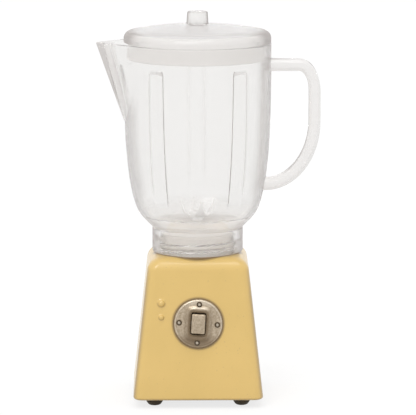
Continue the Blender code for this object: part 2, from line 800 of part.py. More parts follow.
def rib_depth(angle, height):
    """How far a rib stands into the jar: it rises over its flanks and fades at both of its ends."""
    half_foot = RIB_FOOT_WIDTH / 2 / (JAR_RADIUS - JAR_WALL)
    half_crest = RIB_CREST_WIDTH / 2 / (JAR_RADIUS - JAR_WALL)
    spacing = math.tau / RIB_COUNT
    off = abs((angle - math.pi / 2 + spacing / 2) % spacing - spacing / 2)
    across = (half_foot - off) / (half_foot - half_crest)
    upper = (JAR_HEIGHT - RIB_TOP_DROP - height) / RIB_TOP_FADE
    lower = (height - RIB_START) / RIB_START_FADE
    return RIB_DEPTH * max(0, min(1, across)) * max(0, min(1, upper)) * max(0, min(1, lower))


def jar_columns():
    """The angles of the jar's upright edges: on the ribs' corners, at the spout's tip and evenly between."""
    half_foot = RIB_FOOT_WIDTH / 2 / (JAR_RADIUS - JAR_WALL)
    half_crest = RIB_CREST_WIDTH / 2 / (JAR_RADIUS - JAR_WALL)
    stops = [math.pi]
    for i in range(RIB_COUNT):
        middle = math.pi / 2 + math.tau * i / RIB_COUNT
        stops += [(middle + side) % math.tau for side in (-half_foot, -half_crest, half_crest, half_foot)]
    stops.sort()
    columns = []
    for stop, following in zip(stops, stops[1:] + [stops[0] + math.tau]):
        count = math.ceil((following - stop) / JAR_COLUMN_ANGLE)
        columns += [stop + (following - stop) * i / count for i in range(count)]
    return columns


def jar_ring(height, radius, inside=False):
    """One ring of the jar's skin. Beside the spout it is round, and there it runs on straight to the tip."""
    turn = spout_angle(height)
    points = []
    for angle in jar_columns():
        off = abs(angle - math.pi)
        reach = radius / math.cos(turn - off) if off < turn else radius
        if inside:
            reach -= rib_depth(angle, height) + keel_depth(off, turn)
        points.append((reach * math.cos(angle), reach * math.sin(angle), jar_low + height))
    return points


def keel_depth(off, turn):
    """How much thicker the wall is in the spout's corner, beside its tip and down its keel."""
    share = max(0, 1 - off / JAR_COLUMN_ANGLE)
    return SPOUT_KEEL * share * turn / spout_angle(JAR_HEIGHT)


def plain_ring(radius, height):
    return [(radius * math.cos(angle), radius * math.sin(angle), height) for angle in jar_columns()]


def make_jar():
    rib_heights = (
        RIB_START,
        RIB_START + RIB_START_FADE,
        JAR_HEIGHT - RIB_TOP_DROP - RIB_TOP_FADE,
        JAR_HEIGHT - RIB_TOP_DROP,
    )
    row_heights = [share * JAR_HEIGHT for share in JAR_ROW_SHARES]
    outer_heights = [0, *row_heights, JAR_HEIGHT]
    inner_heights = [height for height in row_heights if height > JAR_FLOOR + SEAT_GAP]
    inner_heights = sorted([JAR_FLOOR, *inner_heights, *rib_heights, JAR_HEIGHT], reverse=True)
    boss = SPIGOT_RADIUS
    hole = PIN_RADIUS + SEAT_GAP
    rings = [jar_ring(height, jar_radius(height)) for height in outer_heights]
    rings += [jar_ring(height, jar_bore(height), inside=True) for height in inner_heights]
    rings += [
        plain_ring(hole, jar_floor),
        plain_ring(hole, jar_boss_low),
        plain_ring(boss - JAR_BOSS_RIM, jar_boss_low),
        plain_ring(boss - JAR_BOSS_RIM, boss_rim_low),
        plain_ring(boss, boss_rim_low),
        plain_ring(boss, jar_low),
    ]
    jar = loft("jar", model, jar_turn, rings, closed=True)
    half_width = HANDLE_WIDTH / 2 + SEAT_GAP
    half_height = HANDLE_THICKNESS / 2 + SEAT_GAP
    for name, height in (("upper", handle_top()), ("lower", handle_foot())):
        surface = jar_radius(height - jar_low)
        middle = surface - handle_sink - SEAT_GAP + OVERRUN
        pocket = block(
            f"{name}_handle_pocket",
            cutters,
            jar_turn,
            (OVERRUN, half_width),
            (OVERRUN, half_width),
            height - half_height,
            height + half_height,
            place=(middle, 0, 0),
        )
        cut(jar, pocket)
    clear(jar)


def handle_top():
    return jar_rim - HANDLE_TOP_DROP


def handle_foot():
    return jar_low + HANDLE_FOOT_RISE


def make_handle():
    """A flat bar with chamfered edges, bent along a path in the plane of the jar's axis and the spout."""
    side = handle_reach - HANDLE_THICKNESS / 2
    corner = (side - HANDLE_CORNER_WIDTH, handle_top() - HANDLE_CORNER_HEIGHT)
    belly = (side - HANDLE_BELLY_WIDTH, handle_foot() + HANDLE_BELLY_HEIGHT)
    path = [
        (jar_radius(handle_top() - jar_low) - handle_sink, handle_top()),
        *arc(corner, HANDLE_CORNER_WIDTH, HANDLE_CORNER_HEIGHT, 90, 0, CURVE_STEPS),
        *arc(belly, HANDLE_BELLY_WIDTH, HANDLE_BELLY_HEIGHT, 0, -90, CURVE_STEPS + ARC_STEPS),
        (jar_radius(handle_foot() - jar_low) - handle_sink, handle_foot()),
    ]
    half_thickness = HANDLE_THICKNESS / 2
    half_width = HANDLE_WIDTH / 2
    thick_edge = half_thickness - HANDLE_CHAMFER
    wide_edge = half_width - HANDLE_CHAMFER
    corners = (
        (half_width, -thick_edge),
        (wide_edge, -half_thickness),
        (-wide_edge, -half_thickness),
        (-half_width, -thick_edge),
        (-half_width, thick_edge),
        (-wide_edge, half_thickness),
        (wide_edge, half_thickness),
        (half_width, thick_edge),
    )
    outline = poly_curve("handle_section", [(u, v, 0) for u, v in corners], True)
    section = put("handle_section", outline, cutters, stand)
    curve = poly_curve("handle", [(x, 0, z) for x, z in path], False)
    curve.bevel_mode = "OBJECT"
    curve.bevel_object = section
    curve.use_fill_caps = True
    clear(put("handle", curve, model, jar_turn))


def poly_curve(name, points, cyclic):
    curve = bpy.data.curves.new(name, "CURVE")
    curve.dimensions = "3D"
    spline = curve.splines.new("POLY")
    spline.points.add(len(points) - 1)
    for point, place in zip(spline.points, points):
        point.co = (*place, 1)
    spline.use_cyclic_u = cyclic
    return curve


# Blade


def make_blade_pin():
    head_low = hub_low + BLADE_HUB_HEIGHT + SEAT_GAP
    head_top = head_low + PIN_HEAD_HEIGHT
    shoulder_low = jar_floor + SEAT_GAP
    shoulder_top = shoulder_low + PIN_SHOULDER_HEIGHT
    tail_top = jar_boss_low - SEAT_GAP
    tail_low = tail_top - PIN_TAIL_HEIGHT
    outline = [
        (0, head_top),
        *arc((PIN_RADIUS, head_low), PIN_HEAD_RADIUS - PIN_RADIUS, PIN_HEAD_HEIGHT, 90, 0),
        (PIN_RADIUS, head_low),
        (PIN_RADIUS, shoulder_top),
        (PIN_SHOULDER_RADIUS, shoulder_top),
        (PIN_SHOULDER_RADIUS, shoulder_low),
        (PIN_RADIUS, shoulder_low),
        (PIN_RADIUS, tail_top),
        (PIN_SHOULDER_RADIUS, tail_top),
        (PIN_SHOULDER_RADIUS, tail_low),
        (0, tail_low),
    ]
    clear(turned("blade_pin", model, jar_rise, outline, SMALL_TURN_STEPS))


def blade_section(t, width_share):
    """A rectangle square to the arm's path, which runs level out of the hub and then bends up to its tip."""
    start = Vector((BLADE_ROOT_REACH, BLADE_ROOT_HEIGHT))
    bend = Vector((BLADE_BEND_REACH, BLADE_ROOT_HEIGHT))
    tip = Vector((BLADE_TIP_REACH, BLADE_TIP_HEIGHT))
    middle = start * (1 - t) ** 2 + bend * 2 * t * (1 - t) + tip * t**2
    along = ((bend - start) * (1 - t) + (tip - bend) * t).normalized()
    square = Vector((-along.y, along.x)) * BLADE_THICKNESS / 2
    half_width = BLADE_WIDTH * width_share / 2
    upper = middle + square
    lower = middle - square
    return [
        (lower.x, -half_width, lower.y),
        (lower.x, half_width, lower.y),
        (upper.x, half_width, upper.y),
        (upper.x, -half_width, upper.y),
    ]


def make_blade():
    outline = [
        (BLADE_BORE, BLADE_HUB_HEIGHT),
        (BLADE_HUB_RADIUS, BLADE_HUB_HEIGHT),
        (BLADE_HUB_RADIUS, 0),
        (BLADE_BORE, 0),
    ]
    rotor = turned("blade_rotor", model, blade_axis, outline)
    last = len(BLADE_WIDTH_SHARES) - 1
    rings = [blade_section(i / last, share) for i, share in enumerate(BLADE_WIDTH_SHARES)]
    for i in range(BLADE_COUNT):
        turn = (0, 0, BLADE_TURN + math.tau * i / BLADE_COUNT)
        cut(rotor, loft(f"blade_arm_{i}", cutters, blade_axis, rings, turn=turn), "UNION")
    clear(rotor)


# Lid


def make_lid():
    skirt_low = lid_low - LID_SKIRT_DEPTH
    skirt_bore = lid_skirt_radius - LID_SKIRT_THICKNESS
    bead_middle = lid_radius - LID_BEAD_RADIUS
    bead_top = lid_bead + LID_BEAD_RADIUS
    valley = lid_low + LID_VALLEY_HEIGHT
    drop = (lid_top - valley) / lid_valley_radius**2
    hole = KNOB_STEM_RADIUS + RUN_GAP

    def dome(radius):
        return lid_top - drop * radius**2

    radii = [hole + (lid_valley_radius - hole) * i / CURVE_STEPS for i in range(CURVE_STEPS)]
    inner_radii = [hole + (skirt_bore - hole) * i / CURVE_STEPS for i in reversed(range(CURVE_STEPS + 1))]
    outline = [
        *((radius, dome(radius)) for radius in radii),
        *arc((bead_middle, valley), bead_middle - lid_valley_radius, bead_top - valley, 180, 90),
        *arc((bead_middle, lid_bead), LID_BEAD_RADIUS, LID_BEAD_RADIUS, 90, 0, CURVE_STEPS)[1:],
        (lid_radius, lid_low),
        (lid_skirt_radius, lid_low),
        (lid_skirt_radius, skirt_low),
        (skirt_bore, skirt_low),
        *((radius, dome(radius) - LID_WALL) for radius in inner_radii),
    ]
    clear(turned("lid", model, lid_lift, outline))


def make_knob():
    low = lid_top + SEAT_GAP
    high = low + KNOB_HEIGHT
    stem_low = lid_top - LID_WALL
    round_middle = (KNOB_HEAD_RADIUS - KNOB_ROUND, high - KNOB_ROUND)
    outline = [
        (0, high),
        *arc(round_middle, KNOB_ROUND, KNOB_ROUND, 90, 0),
        (KNOB_FOOT_RADIUS, low),
        (KNOB_STEM_RADIUS, low),
        (KNOB_STEM_RADIUS, stem_low),
        (0, stem_low),
    ]
    clear(turned("lid_knob", model, lid_lift, outline, 2 * SMALL_TURN_STEPS))


clear_scene()
model = new_collection("toy_blender")
cutters = new_collection("cutters")

stand = empty("stand", place=(axis_x, 0, 0))
seat_place = Vector((0, -housing_half(SWITCH_HEIGHT), housing_low + SWITCH_HEIGHT))
switch_seat = empty("switch_seat", stand, seat_place, Euler((math.radians(90) - lean, 0, 0)))
switch_turn = empty("switch_turn", switch_seat, turn=(0, 0, SWITCH_TWIST))
rocker_pivot = empty("rocker_pivot", switch_turn, (0, 0, -ROCKER_PIVOT_DEPTH))
jar_rise = empty("jar_rise", stand)
jar_turn = empty("jar_turn", jar_rise)
blade_axis = empty("blade_axis", jar_turn, (0, 0, hub_low))
lid_lift = empty("lid_lift", jar_turn)

make_housing()
make_bottom_plate()
make_feet()
make_bottom_screws()
make_switch_plate()
make_rivets()
make_rocker()
make_spigot()
make_spigot_fixings()
make_collar()
make_jar()
make_handle()
make_blade_pin()
make_blade()
make_lid()
make_knob()
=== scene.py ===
"""Looks of the toy blender: clear moulded jar, collar, handle and lid, painted base and antiqued switch.

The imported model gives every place. Each sub-part has its own function, and sizes are in metres.
"""

import math

import bmesh
import bpy
from mathutils import Matrix, Vector, noise


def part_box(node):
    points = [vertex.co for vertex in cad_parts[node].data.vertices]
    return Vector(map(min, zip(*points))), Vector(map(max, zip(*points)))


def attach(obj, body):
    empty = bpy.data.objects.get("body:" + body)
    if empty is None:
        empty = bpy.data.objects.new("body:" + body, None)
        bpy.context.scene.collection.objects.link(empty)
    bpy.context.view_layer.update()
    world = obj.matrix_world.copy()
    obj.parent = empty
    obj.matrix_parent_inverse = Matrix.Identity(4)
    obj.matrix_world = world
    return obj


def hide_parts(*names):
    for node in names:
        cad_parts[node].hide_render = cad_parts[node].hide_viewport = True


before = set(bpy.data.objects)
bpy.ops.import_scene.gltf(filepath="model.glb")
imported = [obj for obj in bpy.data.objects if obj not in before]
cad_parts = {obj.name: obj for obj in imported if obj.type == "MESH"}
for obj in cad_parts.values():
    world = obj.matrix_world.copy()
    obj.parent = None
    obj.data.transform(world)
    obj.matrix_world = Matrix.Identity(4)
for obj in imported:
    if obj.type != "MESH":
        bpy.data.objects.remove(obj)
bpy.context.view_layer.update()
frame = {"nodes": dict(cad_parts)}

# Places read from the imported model
housing_low, housing_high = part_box("base_housing")
collar_low, collar_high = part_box("jar_collar")
spigot_low, spigot_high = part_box("threaded_spigot")
rotor_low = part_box("blade_rotor")[0]
jar_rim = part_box("jar")[1].z
axis_x = (collar_low.x + collar_high.x) / 2
collar_reach = (collar_high.x - collar_low.x) / 2

# Clearances, and sizes that several pieces share
SEAT_GAP = 0.0001
THREAD_GAP = 0.00015
EDGE_ROUND = 0.0003
SMALL_ROUND = 0.00012
POLE_RADIUS = SMALL_ROUND / 1000
CUTTER_OVERRUN = 0.001
SHARP_ANGLE = math.radians(38)
SQUARE = ((1, 1), (-1, 1), (-1, -1), (1, -1))

# Housing
FOOT_HALF = 0.0133
HEAD_HALF = 0.0101
WALL = 0.0016
TOP_WALL = 0.0018
TOP_ROUND = 0.0026
CORNER_ROUND = 0.002
FOOT_ROUND = 0.0006
# Painted shade down each upright corner and along the foot's edge
CORNER_SHADE = 0.55
CORNER_SHADE_MIDDLE = 72  # degrees from the front
CORNER_SHADE_SPREAD = 40  # degrees
FOOT_SHADE = 0.6
REBATE_STEP = 0.0003
REBATE_DEPTH = 0.0014
CAVITY_ROUND = 0.001
BOSS_RADIUS = 0.0036
BOSS_DROP = 0.003
POST_RADIUS = 0.0015
POST_HOLE = 0.0006
POST_HOLE_LENGTH = 0.0065

# Pips beside the switch: place up the slope, radius, reach of the flared foot, and height
PIP_SIDE = 0.0075
PIPS = ((0.00415, 0.00068, 0.0013, 0.0007), (0.00128, 0.0005, 0.0009, 0.00052))
PIP_FLARE = 2.6
# Painted shade round each pip's foot
PIP_SHADE = 0.35

# Switch, in the frame of its seat on the sloping front
SWITCH_HEIGHT = 0.0157
SWITCH_TWIST = math.radians(-3.5)
SWITCH_RADIUS = 0.005
PLATE_FLAT = 0.00062
WINDOW_HALVES = (0.00165, 0.0025)
OPENING_HALVES = (0.0026, 0.0029)
LUG_HALVES = (0.0003, 0.0008)
LUG_DEPTH = 0.00135
RIVET_PLACE = 0.0039
RIVET_RADIUS = 0.00045
RIVET_HEIGHT = 0.00035
RIVET_SHANK = 0.00028
RIVET_SIDES = ((0, 1), (-1, 0), (1, 0), (0, -1))
RIVET_RING = 0.00014
# Painted highlight on each rivet's cap
RIVET_SHINE = 1.2
ROCKER_HALVES = (0.0014, 0.002)
ROCKER_HEIGHT = 0.0017
ROCKER_DEPTH = 0.0016
ROCKER_ROUND = 0.0003
# Painted shade low on the switch plate, and a painted highlight on the mound's upper slope
LOW_PLATE_SHADE = 0.6
SLOPE_HIGHLIGHT_PLACE = 0.63
SLOPE_HIGHLIGHT_SPREAD = 0.11
SLOPE_HIGHLIGHT_HALF = 0.0015

# Screw joint
SPIGOT_RADIUS = 0.00745
SPIGOT_WALL = 0.0012
SPIGOT_FLOOR = 0.0012
STEM_RADIUS = 0.0025
STEM_HOLE = 0.0009
CREST_RADIUS = 0.00805
THREAD_PITCH = 0.0015
THREAD_START = 0.0006
THREAD_TURNS = 1.5
RIDGE_ROOT_HALF = 0.0005
RIDGE_CREST_HALF = 0.0002
THREAD_TAPER = 0.1
THREAD_STEPS = 200
COLLAR_BORE = 0.0076

# Jar
JAR_HEIGHT = 0.03795
JAR_RADIUS = 0.0151
JAR_WALL = 0.0008
JAR_FLOOR = 0.0008
JAR_BOSS_HEIGHT = 0.0006
JAR_BOSS_RIM = 0.0012
PIN_HOLE = 0.0007
FLOOR_FLASH = 0.00012
SEAM_HEIGHT = 0.0026
SEAM_UNEVEN = 0.0003
SEAM_HALF = 0.00016
SEAM_DULL = 0.6
JAR_OUTLINE_SHARES = (
    (0, 0),
    (0.03, 0.19),
    (0.052, 0.33),
    (0.096, 0.525),
    (0.14, 0.633),
    (0.183, 0.707),
    (0.29, 0.83),
    (0.47, 0.938),
    (0.70, 0.99),
    (0.82, 1),
    (1, 1),
)
SPOUT_REACH = 0.021
SPOUT_START_SHARE = 0.565
SPOUT_SOFTNESS = math.radians(0.9)
SPOUT_FINE = math.radians(9)
SPOUT_KEEL = 0.0006
KEEL_SPREAD = math.radians(12)
KEEL_BAND = 0.0026
KEEL_LINE = 0.00035
# Painted shade of the keel's grey band
KEEL_BAND_SHADE = 0.45
KEEL_DENSE = 0.8
SPOUT_DENSE = 0.4
RIB_DENSE = 0.7
FOOT_DENSE = 0.3
SPOUT_DENSE_REACH = 0.006
RIM_ROUND = 0.00025
RIB_COUNT = 5
RIB_DEPTH = 0.0005
RIB_HALF_WIDTH = 0.0018
RIB_SPREAD = 0.0003
RIB_FLANK = 0.0004
RIB_TOP_FADE = 0.0015
RIB_TOP_DROP = 0.0042
COLUMN_LEAN_REACH = math.radians(8)
RIB_START = 0.0043
RIB_START_FADE = 0.006

# How strong the painted dark lines and the dense haze are on the front ribs' inner flanks, and on the other
# flanks
INNER_LINE_LEFT = 3
INNER_LINE_RIGHT = 1.8
OUTER_LINE = 1.2
INNER_SPREAD = 8
OUTER_SPREAD = 3

# The jar's mesh: rows of its skin, and the steps between its upright edges
OUTSIDE_ROWS = 90
RIB_TOP_ROWS = 14
INSIDE_ROWS = 70
SEAM_ROWS = 22
FLANK_STEP = math.radians(0.25)
KEEL_STEP = math.radians(0.5)
WALL_STEP = math.radians(1.8)

# Handle
HANDLE_REACH = 0.02514
HANDLE_THICKNESS = 0.00235
HANDLE_WIDTH = 0.004
HANDLE_CHAMFER = 0.0006
HANDLE_SINK = 0.00048
HANDLE_TOP_DROP = 0.00467
HANDLE_CORNER = (0.0032, 0.0055)
HANDLE_BELLY = (0.01, 0.013)
HANDLE_FOOT_RISE = 0.0087
GLUE_REACH = 0.0026

# Lid and knob
LID_RADIUS = 0.01505
LID_WALL = 0.0012
BEAD_RADIUS = 0.00142
LID_EDGE = 0.00075
DOME_SLOPE = 0.19
# Painted shade on the dome's crease and shoulders, and a painted highlight band on the edge's front
CREASE_SHADE = 0.9
SHOULDER_SHADE = 1
BAND_HIGHLIGHT = 0.65
SKIRT_LIGHT = 0.65
LID_RISE = 0.0035
CREASE_RADIUS = 0.0115
CREASE_SPREAD = 0.0029
CREASE_REACH = math.radians(61)
CREASE_HALF = 0.00042
SKIRT_RADIUS = 0.01415
SKIRT_WALL = 0.001
SKIRT_DEPTH = 0.00345
KNOB_FOOT = 0.00224
KNOB_HEAD = 0.00206
KNOB_HEIGHT = 0.00265
KNOB_ROUND = 0.0004
KNOB_STEM = 0.0011

# Blade
HUB_RADIUS = 0.0013
HUB_HEIGHT = 0.0017
HUB_BORE = 0.0007
BLADE_COUNT = 4
BLADE_TURN = math.radians(12)
BLADE_ROOT = (0.001, 0.0007)
BLADE_BEND = (0.0031, 0.0007)
BLADE_TIP = (0.0035, 0.0042)
BLADE_WIDTH = 0.0023
BLADE_THICKNESS = 0.00045

# Camera, set back from the jar's axis as the photograph's perspective shows
CAMERA_BACK = 0.6803
CAMERA_HEIGHT = 0.1518
CAMERA_SIDE = 0.00215
CAMERA_PITCH = math.radians(9.381)
CAMERA_TURN = math.radians(-0.8)
FOCAL_PIXELS = 3353
IMAGE_WIDTH_PIXELS = 416

# Floor and room. The softboxes stand towards a point, spread over an angle, at a strength
FLOOR_HALF = 6
FLOOR_GREY = 0.8
FLOOR_GLOW = 1.08
FLOOR_GLOW_SHARE = 0.72
ROOM_LIGHT = 0.8
SOFTBOXES = {
    "key_softbox": ((-0.35, -0.65, 0.9), math.radians(22), 0.75),
    "top_softbox": ((0.1, -0.25, 1), math.radians(24), 0.4),
}

jar_floor_low = collar_high.z + SEAT_GAP
lean = math.atan2(FOOT_HALF - HEAD_HALF, housing_high.z - housing_low.z)
lid_low = jar_rim + SEAT_GAP
lid_top = lid_low + LID_RISE


# Mesh helpers


def finished(name, bm):
    """An object from a closed mesh, its doubles merged and its faces pointing out, shaded smooth."""
    bmesh.ops.remove_doubles(bm, verts=bm.verts, dist=SMALL_ROUND / 100)
    bmesh.ops.recalc_face_normals(bm, faces=bm.faces)
    mesh = bpy.data.meshes.new(name)
    bm.to_mesh(mesh)
    bm.free()
    mesh.shade_smooth()
    mesh.set_sharp_from_angle(angle=SHARP_ANGLE)
    return linked(name, mesh)


def linked(name, data):
    obj = bpy.data.objects.new(name, data)
    bpy.context.scene.collection.objects.link(obj)
    return obj


def skin(name, rings, closed=False):
    """A skin over rings of one length. Closed, the last joins the first; otherwise both are capped."""
    bm = bmesh.new()
    rows = [[bm.verts.new(point) for point in ring] for ring in rings]
    for row, following in zip(rows, rows[1:] + rows[:1] if closed else rows[1:]):
        for i in range(len(row)):
            bm.faces.new((row[i - 1], row[i], following[i], following[i - 1]))
    if not closed:
        bm.faces.new(rows[0])
        bm.faces.new(rows[-1])
    return finished(name, bm)


def circle(steps):
    return [math.tau * i / steps for i in range(steps)]


def round_ring(radius, height, steps, middle=axis_x):
    return [(middle + radius * math.cos(a), radius * math.sin(a), height) for a in circle(steps)]


def turned(name, outline, steps, middle=axis_x):
    """An outline of (radius, height) turned about an upright axis, bored where it starts off that axis."""
    bored = outline[0][0] > SEAT_GAP
    rings = [round_ring(max(radius, POLE_RADIUS), height, steps, middle) for radius, height in outline]
    return skin(name, rings, closed=bored)


def soften(corners, closed=False, steps=4):
    """An outline whose corners, (across, up, radius), are rounded by their own radii."""
    points = []
    for i, (x, z, radius) in enumerate(corners):
        here = Vector((x, z))
        if not radius or (not closed and i in (0, len(corners) - 1)):
            points.append((x, z))
            continue
        back = Vector(corners[i - 1][:2]) - here
        ahead = Vector(corners[(i + 1) % len(corners)][:2]) - here
        half = back.angle(ahead) / 2
        run = min(radius / math.tan(half), back.length / 2, ahead.length / 2)
        middle = here + (back.normalized() + ahead.normalized()).normalized() * run / math.cos(half)
        first = here + back.normalized() * run - middle
        last = here + ahead.normalized() * run - middle
        start = math.atan2(first.y, first.x)
        sweep = (math.atan2(last.y, last.x) - start + math.pi) % math.tau - math.pi
        reach = first.length
        for k in range(steps + 1):
            angle = start + sweep * k / steps
            points.append((middle.x + reach * math.cos(angle), middle.y + reach * math.sin(angle)))
    return points


def arc(centre, width, height, start, end, steps):
    """Points along an ellipse's arc between two angles in degrees."""
    points = []
    for i in range(steps + 1):
        angle = math.radians(start + (end - start) * i / steps)
        points.append((centre[0] + width * math.cos(angle), centre[1] + height * math.sin(angle)))
    return points


def place_mesh(obj, matrix):
    """Moves the mesh itself, so that the object stays at the origin."""
    obj.data.transform(matrix)
    obj.data.update()


def mark(obj, name, measure):
    """Writes a measure of each point of a piece, for its finish to read."""
    attribute = obj.data.attributes.new(name, "FLOAT", "POINT")
    for vert in obj.data.vertices:
        attribute.data[vert.index].value = measure(vert)


def how_level(vert):
    return smooth_step((abs(vert.normal.z) - LEVEL_START) / LEVEL_SPREAD)


def nowhere(place):
    return 0


def dress(obj, material, body, *nodes, slot, thin=nowhere):
    """Gives a piece its finish, its body and the nodes it stands for.

    Clear plastic's haze stays thin on its level faces, and where a measure of the place says.
    """
    if slot == "clear_plastic":
        mark(obj, "level", lambda vert: max(thin(vert.co), how_level(vert)))
    obj.data.materials.clear()
    obj.data.materials.append(material)
    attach(obj, body)
    if nodes:
        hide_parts(*nodes)


def smooth_step(share):
    share = max(0, min(1, share))
    return share * share * (3 - 2 * share)


# Materials


def linear(red, green, blue):
    """A colour as the screen shows it, from 0 to 255, in the light's own scale."""
    return (*(((c / 255 + 0.055) / 1.055) ** 2.4 for c in (red, green, blue)), 1)


class Finish:
    """A material with one Principled shader, whose nodes read the piece's own coordinates."""

    def __init__(self, name):
        self.material = bpy.data.materials.new(name)
        self.material.use_nodes = True
        self.nodes = self.material.node_tree.nodes
        self.links = self.material.node_tree.links
        self.shader = self.nodes["Principled BSDF"]
        self.output = self.nodes["Material Output"]
        self.place = self.nodes.new("ShaderNodeTexCoord").outputs["Object"]

    def set(self, **values):
        """Sets the shader's own sockets, an underscore standing for a space in each name."""
        for name, value in values.items():
            self.shader.inputs[name.replace("_", " ")].default_value = value

    def noise(self, scale, detail=3, roughness=0.55):
        node = self.nodes.new("ShaderNodeTexNoise")
        node.inputs["Scale"].default_value = scale
        node.inputs["Detail"].default_value = detail
        node.inputs["Roughness"].default_value = roughness
        self.links.new(self.place, node.inputs["Vector"])
        return node.outputs[0]

    def clouds(self, scale, detail=3, low=0, high=1):
        """Soft clouds of a noise, from a low value to a high one."""
        return self.span(self.noise(scale, detail), 0.3, 0.7, low, high)

    def attribute(self, name):
        node = self.nodes.new("ShaderNodeAttribute")
        node.attribute_name = name
        return node.outputs["Fac"]

    def span(self, value, low, high, to_low=0, to_high=1):
        node = self.nodes.new("ShaderNodeMapRange")
        node.inputs["From Min"].default_value = low
        node.inputs["From Max"].default_value = high
        node.inputs["To Min"].default_value = to_low
        node.inputs["To Max"].default_value = to_high
        self.links.new(value, node.inputs["Value"])
        return node.outputs["Result"]

    def maths(self, operation, first, second):
        node = self.nodes.new("ShaderNodeMath")
        node.operation = operation
        for socket, value in zip(node.inputs, (first, second)):
            if isinstance(value, (int, float)):
                socket.default_value = value
            else:
                self.links.new(value, socket)
        return node.outputs[0]

    def blend(self, share, first, second):
        """A colour between two, each a colour or an output."""
        node = self.nodes.new("ShaderNodeMix")
        node.data_type = "RGBA"
        self.links.new(share, node.inputs["Factor"])
        for socket, value in ((node.inputs[6], first), (node.inputs[7], second)):
            if isinstance(value, tuple):
                socket.default_value = value
            else:
                self.links.new(value, socket)
        return node.outputs[2]

    def bump(self, height, distance, strength=1):
        node = self.nodes.new("ShaderNodeBump")
        node.inputs["Distance"].default_value = distance
        node.inputs["Strength"].default_value = strength
        self.links.new(height, node.inputs["Height"])
        self.links.new(node.outputs["Normal"], self.shader.inputs["Normal"])

    def to(self, socket, value):
        self.links.new(value, self.shader.inputs[socket])

    def near(self, place, low, high):
        """One near a place, falling to none between two distances from it."""
        node = self.nodes.new("ShaderNodeVectorMath")
        node.operation = "DISTANCE"
        node.inputs[1].default_value = place
        self.links.new(self.place, node.inputs[0])
        return self.span(node.outputs["Value"], high, low)

    def facing(self, low, high):
        """How far the surface turns away, from none to all between two values."""
        node = self.nodes.new("ShaderNodeLayerWeight")
        node.inputs["Blend"].default_value = 0.5
        return self.span(node.outputs["Facing"], low, high)

    def cloud(self, share, edge_share, colour, edge_colour, turn):
        """A surface haze, where a share of the light scatters. Lamps and scattered light pass through it.

        It is thicker and darker where an upright surface turns away, and on marked edges, which carry
        painted shade lines and glue. Marks for frost and for a dense haze thicken it too; on the lid the
        frost mark paints a highlight band.
        """
        upright = self.maths("SUBTRACT", 1, self.attribute("level"))
        turned_away = self.maths("MULTIPLY", self.facing(*turn), upright)
        edge = self.maths("MAXIMUM", turned_away, self.attribute("edge"))
        frost = self.attribute("frost")
        tint = self.blend(frost, self.blend(edge, colour, edge_colour), FROST)
        ahead = self.nodes.new("ShaderNodeBsdfTranslucent")
        back = self.nodes.new("ShaderNodeBsdfDiffuse")
        for node in (ahead, back):
            self.links.new(tint, node.inputs["Color"])
        inner = self.nodes.new("ShaderNodeNewGeometry").outputs["Backfacing"]
        scatter = self.mix_shaders(inner, back.outputs[0], ahead.outputs[0])
        haze = self.span(edge, 0, 1, share, edge_share)
        thick = self.maths("MAXIMUM", self.maths("MULTIPLY", frost, FROST_SHARE), self.attribute("dense"))
        surface = self.mix_shaders(self.maths("MAXIMUM", haze, thick), self.shader.outputs[0], scatter)
        path = self.nodes.new("ShaderNodeLightPath")
        clear = self.nodes.new("ShaderNodeBsdfTransparent")
        clear.inputs["Color"].default_value = PASSED_LIGHT
        for name in ("Is Diffuse Ray", "Is Shadow Ray"):
            surface = self.mix_shaders(path.outputs[name], surface, clear.outputs[0])
        self.links.new(surface, self.output.inputs["Surface"])

    def mix_shaders(self, share, first, second):
        node = self.nodes.new("ShaderNodeMixShader")
        self.links.new(share, node.inputs["Fac"])
        self.links.new(first, node.inputs[1])
        self.links.new(second, node.inputs[2])
        return node.outputs[0]

    def absorb(self, colour, density):
        node = self.nodes.new("ShaderNodeVolumeAbsorption")
        node.inputs["Color"].default_value = colour
        node.inputs["Density"].default_value = density
        self.links.new(node.outputs["Volume"], self.output.inputs["Volume"])


# Clear plastic: the light it lets by, its haze, and its frost where it is left dull
PASSED_LIGHT = (0.97, 0.965, 0.96, 1)
FROST_SHARE = 0.82
LEVEL_START = 0.72
LEVEL_SPREAD = 0.2
HAZE = linear(242, 239, 237)
# The darker haze colour, for surfaces that turn away and for the painted shade lines on marked edges
HAZE_EDGE = linear(182, 176, 173)
WALL_TURN = (0.47, 0.7)
WALL_WAVES = 0.00001
FROST = linear(255, 252, 249)


def clear_plastic(
    name, rough, haze, edge_haze, turn=WALL_TURN, waviness=WALL_WAVES, colour=HAZE, edge=HAZE_EDGE
):
    """Clear moulded plastic: a warm tint that deepens along the wall, surface haze and slight waves."""
    finish = Finish(name)
    finish.set(Base_Color=(0.995, 0.995, 0.99, 1), Transmission_Weight=1, IOR=1.49)
    finish.to("Roughness", finish.span(finish.noise(260, 2), 0.35, 0.7, *rough))
    if waviness:
        finish.bump(finish.noise(170, 1), waviness)
    finish.absorb((0.28, 0.24, 0.2, 1), 10)
    finish.cloud(haze, edge_haze, colour, edge, turn)
    return finish.material


